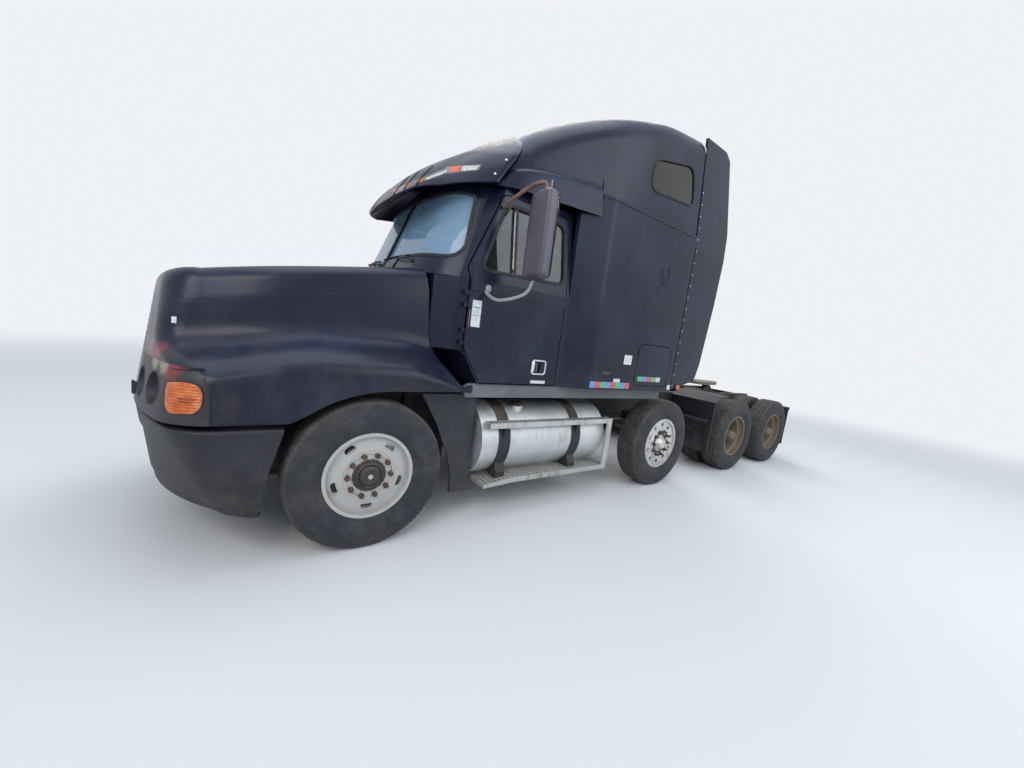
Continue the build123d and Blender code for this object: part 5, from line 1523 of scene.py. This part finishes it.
seatX = 0.640
seat = {
    # station and height, size, lean in degrees, places of the sewn channels
    "cushion": ((1.160, 1.520), (0.505, 0.490, 0.150), 3, (-0.11, 0.11)),
    "back": ((1.432, 1.890), (0.490, 0.590, 0.105), 83, (-0.12, 0.12)),
    "head": ((1.482, 2.245), (0.290, 0.135, 0.078), 84, ()),
}


def cushionForm(size, channels):
    # Super-ellipsoid: powers of the cosine round a rounded square, of the sine for the height; the sides
    # are pulled in between the corners, the top is crowned, and a seam runs round the edge
    pinch, sewn, channelWidth = 0.035, 0.016, 0.010
    tilt = np.radians(np.linspace(-88, 88, 49))[:, None]
    a = circleAngles(112)[None]
    out = np.abs(np.cos(tilt))**0.42
    x, y = (out * np.sign(v) * np.abs(v)**0.34 * s / 2 for v, s in zip((np.cos(a), np.sin(a)), size))
    x = x * (1 - pinch * (1 - np.clip(np.abs(y) / size[1] * 2, 0, 1)**2))
    y = y * (1 - pinch * (1 - np.clip(np.abs(x) / size[0] * 2, 0, 1)**2))
    z = np.sign(np.sin(tilt)) * np.abs(np.sin(tilt))**0.55 * size[2] / 2
    crown = 1 - 0.32 * ((x / size[0] * 2)**2 + (y / size[1] * 2)**2) / 2
    z = np.where(z > 0, z * crown, z * 0.94) + 0 * x
    for channel in channels:
        z = z - np.where(z > 0, sewn * np.exp(-((x - channel) / channelWidth)**2), 0)
    seamBead = 1 + 0.006 * np.exp(-(tilt / 0.10)**2) / np.maximum(np.hypot(x, y), 0.05)
    return capped(np.stack([x * seamBead, y * seamBead, z], -1))


for part, (at, size, lean, channels) in seat.items():
    lean = np.radians(lean)
    form = cushionForm(size, channels)
    for side, sign in sides.items():
        placed = moved(form, place(sign * seatX, *at), axes((1, 0, 0), (0, np.cos(lean), np.sin(lean))))
        pad = solidObject(f"seat_{part}_{side}", placed, "fabric", "chassis", ["seats"],
                          sharp=70)
bellows = {"low": 1.176, "high": 1.452, "folds": 5, "depth": 0.045, "outline": (0.400, 0.380, 0.07),
           "station": 1.150}
share = np.linspace(0, 1, 40)
bellowsLoop = roundedOutline(*bellows["outline"], 8)
stand = [np.column_stack([bellowsLoop * (1 + bellows["depth"] * np.cos(t * fullTurn * bellows["folds"])),
                          np.full(len(bellowsLoop), bellows["low"] + (bellows["high"] - bellows["low"]) * t)])
         for t in share]
stands = [moved(capped(stand), place(sign * seatX, bellows["station"], 0)) for sign in (1, -1)]
solidObject("seat_stands", merged(stands), "plastic", "chassis", sharp=60)

# Inner splash shields beside the frame, ahead of and behind the front wheels, on stays

shield = {
    "x": 0.480, "thick": 0.006,
    "loops": [[(-0.930, 0.980), (-0.930, 0.560), (-0.800, 0.330), (-0.340, 0.330), (-0.340, 0.640),
               (-0.480, 0.980)],
              [(0.460, 1.000), (0.400, 0.620), (0.400, 0.360), (0.860, 0.330), (0.870, 1.020)]],
    "stayStations": [-0.800, -0.480, 0.520, 0.800], "stayHeight": 0.780,
}
shieldParts = []
for corners in shield["loops"]:
    loop = roundedPolygon(corners, 0.035, 6)
    inner = shrunk(evenly(loop, 120, True), 0.030)
    rail = place(shield["x"] + shield["thick"], inner[:, 0], inner[:, 1])
    shieldParts += [moved(slab(loop, shield["thick"], 0.002), place(shield["x"], 0, 0), upright),
                    strip(rail, (1, 0, 0), 0.016, 0.006, True)]
stay = turnedSolid([(0.425, 0.014), (0.484, 0.014), (0.490, 0.010)], 12)
shieldParts += [moved(stay, place(0, station, shield["stayHeight"])) for station in shield["stayStations"]]
solidObject("splash_shields", bothSides(*shieldParts), "plastic", "chassis")

# Steps and tank: rows of raised grips on the treads, cap with a gripped edge

grips = [
    # x of the rows, stations, height the rays start from, lowest height that counts as the tread
    ((1.082, 1.118), np.arange(0.96, 2.41, 0.042), 0.93, 0.80),
    ((0.965, 1.005, 1.045, 1.085, 1.125), np.arange(0.965, 2.41, 0.046), 0.62, 0.30),
]
stepTree = treeOf(nodes["steps"])
gripParts = []
for rowsX, stations, above, lowest in grips:
    starts = np.array([place(x, station, above) for x in rowsX for station in stations])
    hits, normals = castOn(stepTree, starts, (0, 0, -1))
    kept = (normals[:, 2] > 0.9) & (hits[:, 2] > lowest) & (hits[:, 2] < above - 0.02)
    gripParts.append(domesOn(hits[kept], normals[kept], 0.0125, 0.0016))
solidObject("step_grip", bothSides(*gripParts), "darkIron", "chassis", sharp=None)
a = circleAngles(96)
capEdge = 0.064 + 0.003 * np.sign(np.cos(a * 12)) * np.abs(np.cos(a * 12))**0.4
tankCap = slab(np.column_stack([capEdge * np.cos(a), capEdge * np.sin(a)]), 0.030, 0.006, 0.004)
tankCaps = bothSides(moved(tankCap, place(0.930, 1.330, 0.950)))
solidObject("tank_caps", tankCaps, "steel", "chassis", sharp=40)

print("details placed")


# Tyres: a worn highway tread in front, lugged shoulders behind

tyreShape = {
    "radius": 0.520, "tread": 0.5195, "halfTread": 0.116, "grooves": [0.026, 0.068], "grooveWidth": 0.0045,
    "grooveDepth": 0.011, "steps": 360, "notches": 90,
    # x, radius, share of the wall's finish; from the shoulder round to the bead and inside
    "shoulder": [(0.098, 0.5165, 0), (0.108, 0.5150, 0), (0.1150, 0.5125, 0), (0.1195, 0.5065, 0.2),
                 (0.1225, 0.4990, 0.5), (0.1262, 0.4900, 1), (0.1330, 0.4680, 1), (0.1400, 0.4420, 1),
                 (0.1436, 0.4180, 1), (0.1445, 0.4000, 1), (0.1436, 0.3830, 1), (0.1408, 0.3640, 1),
                 (0.1372, 0.3480, 1), (0.1380, 0.3455, 1), (0.1356, 0.3425, 1), (0.1310, 0.3300, 1),
                 (0.1250, 0.3160, 1), (0.1200, 0.3080, 1), (0.1175, 0.3020, 1), (0.1060, 0.2995, 1),
                 (0.1050, 0.2865, 1), (0.095, 0.2865, 1), (0.060, 0.2870, 1)],
}
# inner edge and depth of the notches across the shoulder, their number's share, and how narrow they are
notchShape = {"plain": (0.1075, 0.006, 1.0, 0.62), "lugged": (0.074, 0.012, 0.5, 0.30)}


def tyreProfile():
    t = tyreShape
    half = [(0.0, t["tread"], 0)]
    w = t["grooveWidth"]
    for groove in t["grooves"]:
        top = t["tread"] - 0.004 * (groove / t["halfTread"])**2
        for x, drop in ((w + 0.001, 0), (w, 0.002), (w * 0.6, t["grooveDepth"])):
            half.append((groove - x, top - drop, 0))
        for x, drop in ((w * 0.6, t["grooveDepth"]), (w, 0.002), (w + 0.001, 0)):
            half.append((groove + x, top - drop, 0))
    half = np.array(half + t["shoulder"])
    return np.concatenate([half[::-1][:-1] * np.array([-1, 1, 1]), half])


def tyreMesh(centre, station, notch):
    inner, depth, share, narrow = notchShape[notch]
    profile = tyreProfile()

    def ripple(x, r, a):
        cut = np.clip((np.cos(a * tyreShape["notches"] * share) - narrow) * 6, 0, 1)
        return r - depth * cut * ((np.abs(x) > inner) & (np.abs(x) < 0.124))

    part = lathed(profile[:, :2], tyreShape["steps"], ripple)
    at = place(centre, station, tyreShape["radius"])
    return moved(part, at), np.repeat(profile[:, 2], tyreShape["steps"])


tyreSets = {
    # station, centres of the tyres, notches
    "front": (0.0, [1.0375], "plain"),
    "pusher": (3.403, [1.0325], "plain"),
    "drive_1": (5.230, [1.0695, 0.7265], "lugged"),
    "drive_2": (6.549, [1.0695, 0.7265], "lugged"),
}
for name, (station, centres, notch) in tyreSets.items():
    for side, sign in sides.items():
        parts, walls = zip(*(tyreMesh(sign * centre, station, notch) for centre in centres))
        tyre = solidObject(f"tyre_{name}_{side}", merged(parts), "tyre", f"{name}_wheel_{side}",
                           [f"{name}_tyre_{side}"], sharp=38)
        attribute = tyre.data.attributes.new("wall", "FLOAT", "POINT")
        attribute.data.foreach_set("value", np.concatenate(walls).astype(np.float32))
print("tyres made")


# Wheel hardware: nuts, studs, hub flanges and oil caps

studCircle = 0.143
wheelFace = {"front": 1.135, "pusher": 1.130, "drive_1": 0.912, "drive_2": 0.912}


def nutShape(across, height, chamfer):
    # A six-sided nut standing on x = 0, its chamfered top outwards
    r = across / math.sqrt(3)
    return turnedSolid([(0, r), (height - chamfer, r), (height, r - chamfer * 1.6)], 6)


def roundStud(radius, height, steps=12):
    chamfer = 0.001
    return turnedSolid([(0, radius), (height - chamfer, radius), (height, radius - chamfer)], steps)


def ringOf(shape, count, radius, x, spin=0.0):
    # count copies of a shape standing on a circle about the wheel's axle
    angles = np.arange(count) * fullTurn / count
    shifts = np.column_stack([np.full(count, x), radius * np.cos(angles), radius * np.sin(angles)])
    return repeated(shape, shifts, aboutX(angles + spin))


def studsWith(nut, studLength, face, spin=0.0):
    nuts = ringOf(nutShape(*nut), 10, studCircle, face, spin)
    return [nuts, ringOf(roundStud(0.0105, studLength), 10, studCircle, face)]


def fromFace(wheel, profile, steps, ripple=None):
    # A turned piece whose (x, radius) points count from the wheel's face
    return lathed([(wheelFace[wheel] + x, r) for x, r in profile], steps, ripple)


def wheelPiece(name, parts, wheel, finish):
    # Made about the axle line for the left side, and mirrored for the right
    at = place(0, tyreSets[wheel][0], tyreShape["radius"])
    pairOf(f"{name}_{wheel}", moved(merged(parts), at), finish, f"{wheel}_wheel", sharp=32)


# Steel front wheel: ten nuts on studs, a ribbed hub flange, the oil cap with its plug
frontNuts = studsWith((0.033, 0.026, 0.003), 0.040, wheelFace["front"] + 0.003, 0.35)
wheelPiece("nuts", frontNuts, "front", "rusty")
flange = fromFace("front", [(-0.01, 0.112), (0.007, 0.112), (0.011, 0.108), (0.012, 0.094), (0.020, 0.088),
                            (0.024, 0.080), (0.010, 0.060), (-0.01, 0.060)], 160,
                  lambda x, r, a: r - 0.003 * (np.cos(a * 20) > 0.4) * (r > 0.09))
bolts = ringOf(nutShape(0.016, 0.008, 0.001), 6, 0.080, wheelFace["front"] + 0.021)
wheelPiece("hub_flange", [flange, bolts], "front", "darkIron")
oilCap = fromFace("front", [(0, 0.0), (0, 0.070), (0.026, 0.068), (0.029, 0.0655), (0.031, 0.062),
                            (0.034, 0.058), (0.036, 0.046), (0.034, 0.040), (0.034, 0.0)], 72)
wheelPiece("oil_cap", [oilCap], "front", "darkIron")
plug = fromFace("front", [(0.030, 0.0), (0.030, 0.017), (0.040, 0.016), (0.042, 0.013), (0.042, 0.0)], 32)
wheelPiece("cap_plug", [plug], "front", "whiteSteel")

# Aluminium pusher wheel: ten flange nuts on long rusty studs, dark hub edge
washers = ringOf(roundStud(0.024, 0.004, 18), 10, studCircle, wheelFace["pusher"])
pusherNuts = [*studsWith((0.036, 0.024, 0.002), 0.052, wheelFace["pusher"]), washers]
wheelPiece("nuts", pusherNuts, "pusher", "rusty")
hubEdge = fromFace("pusher", [(-0.004, 0.118), (0.006, 0.116), (0.008, 0.104), (0.003, 0.100),
                              (-0.004, 0.100)], 96)
wheelPiece("hub_edge", [hubEdge], "pusher", "darkIron")

# Drive wheels: nuts and studs in the dish, the axle shaft's flange with its bolts
shaft = [lathed([(1.160, 0.0), (1.160, 0.052), (1.172, 0.052), (1.1745, 0.049), (1.1745, 0.0)], 48),
         ringOf(nutShape(0.014, 0.008, 0.001), 8, 0.040, 1.1740)]
for wheel in ("drive_1", "drive_2"):
    driveNuts = studsWith((0.036, 0.026, 0.002), 0.048, wheelFace[wheel])
    wheelPiece("nuts", driveNuts, wheel, "rusty")
    wheelPiece("shaft_flange", shaft, wheel, "tanSteel")
print("wheel hardware made")

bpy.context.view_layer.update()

floorReach = 60.0
floorCorners = [(x * floorReach, y * floorReach, 0) for x, y in ((-1, -1), (1, -1), (1, 1), (-1, 1))]
floorMesh = bpy.data.meshes.new("floor")
floorMesh.from_pydata(floorCorners, [], [(0, 1, 2, 3)])
floorMesh.materials.append(floorFinish.material)
floor = linked("floor", floorMesh)
print("scene complete")
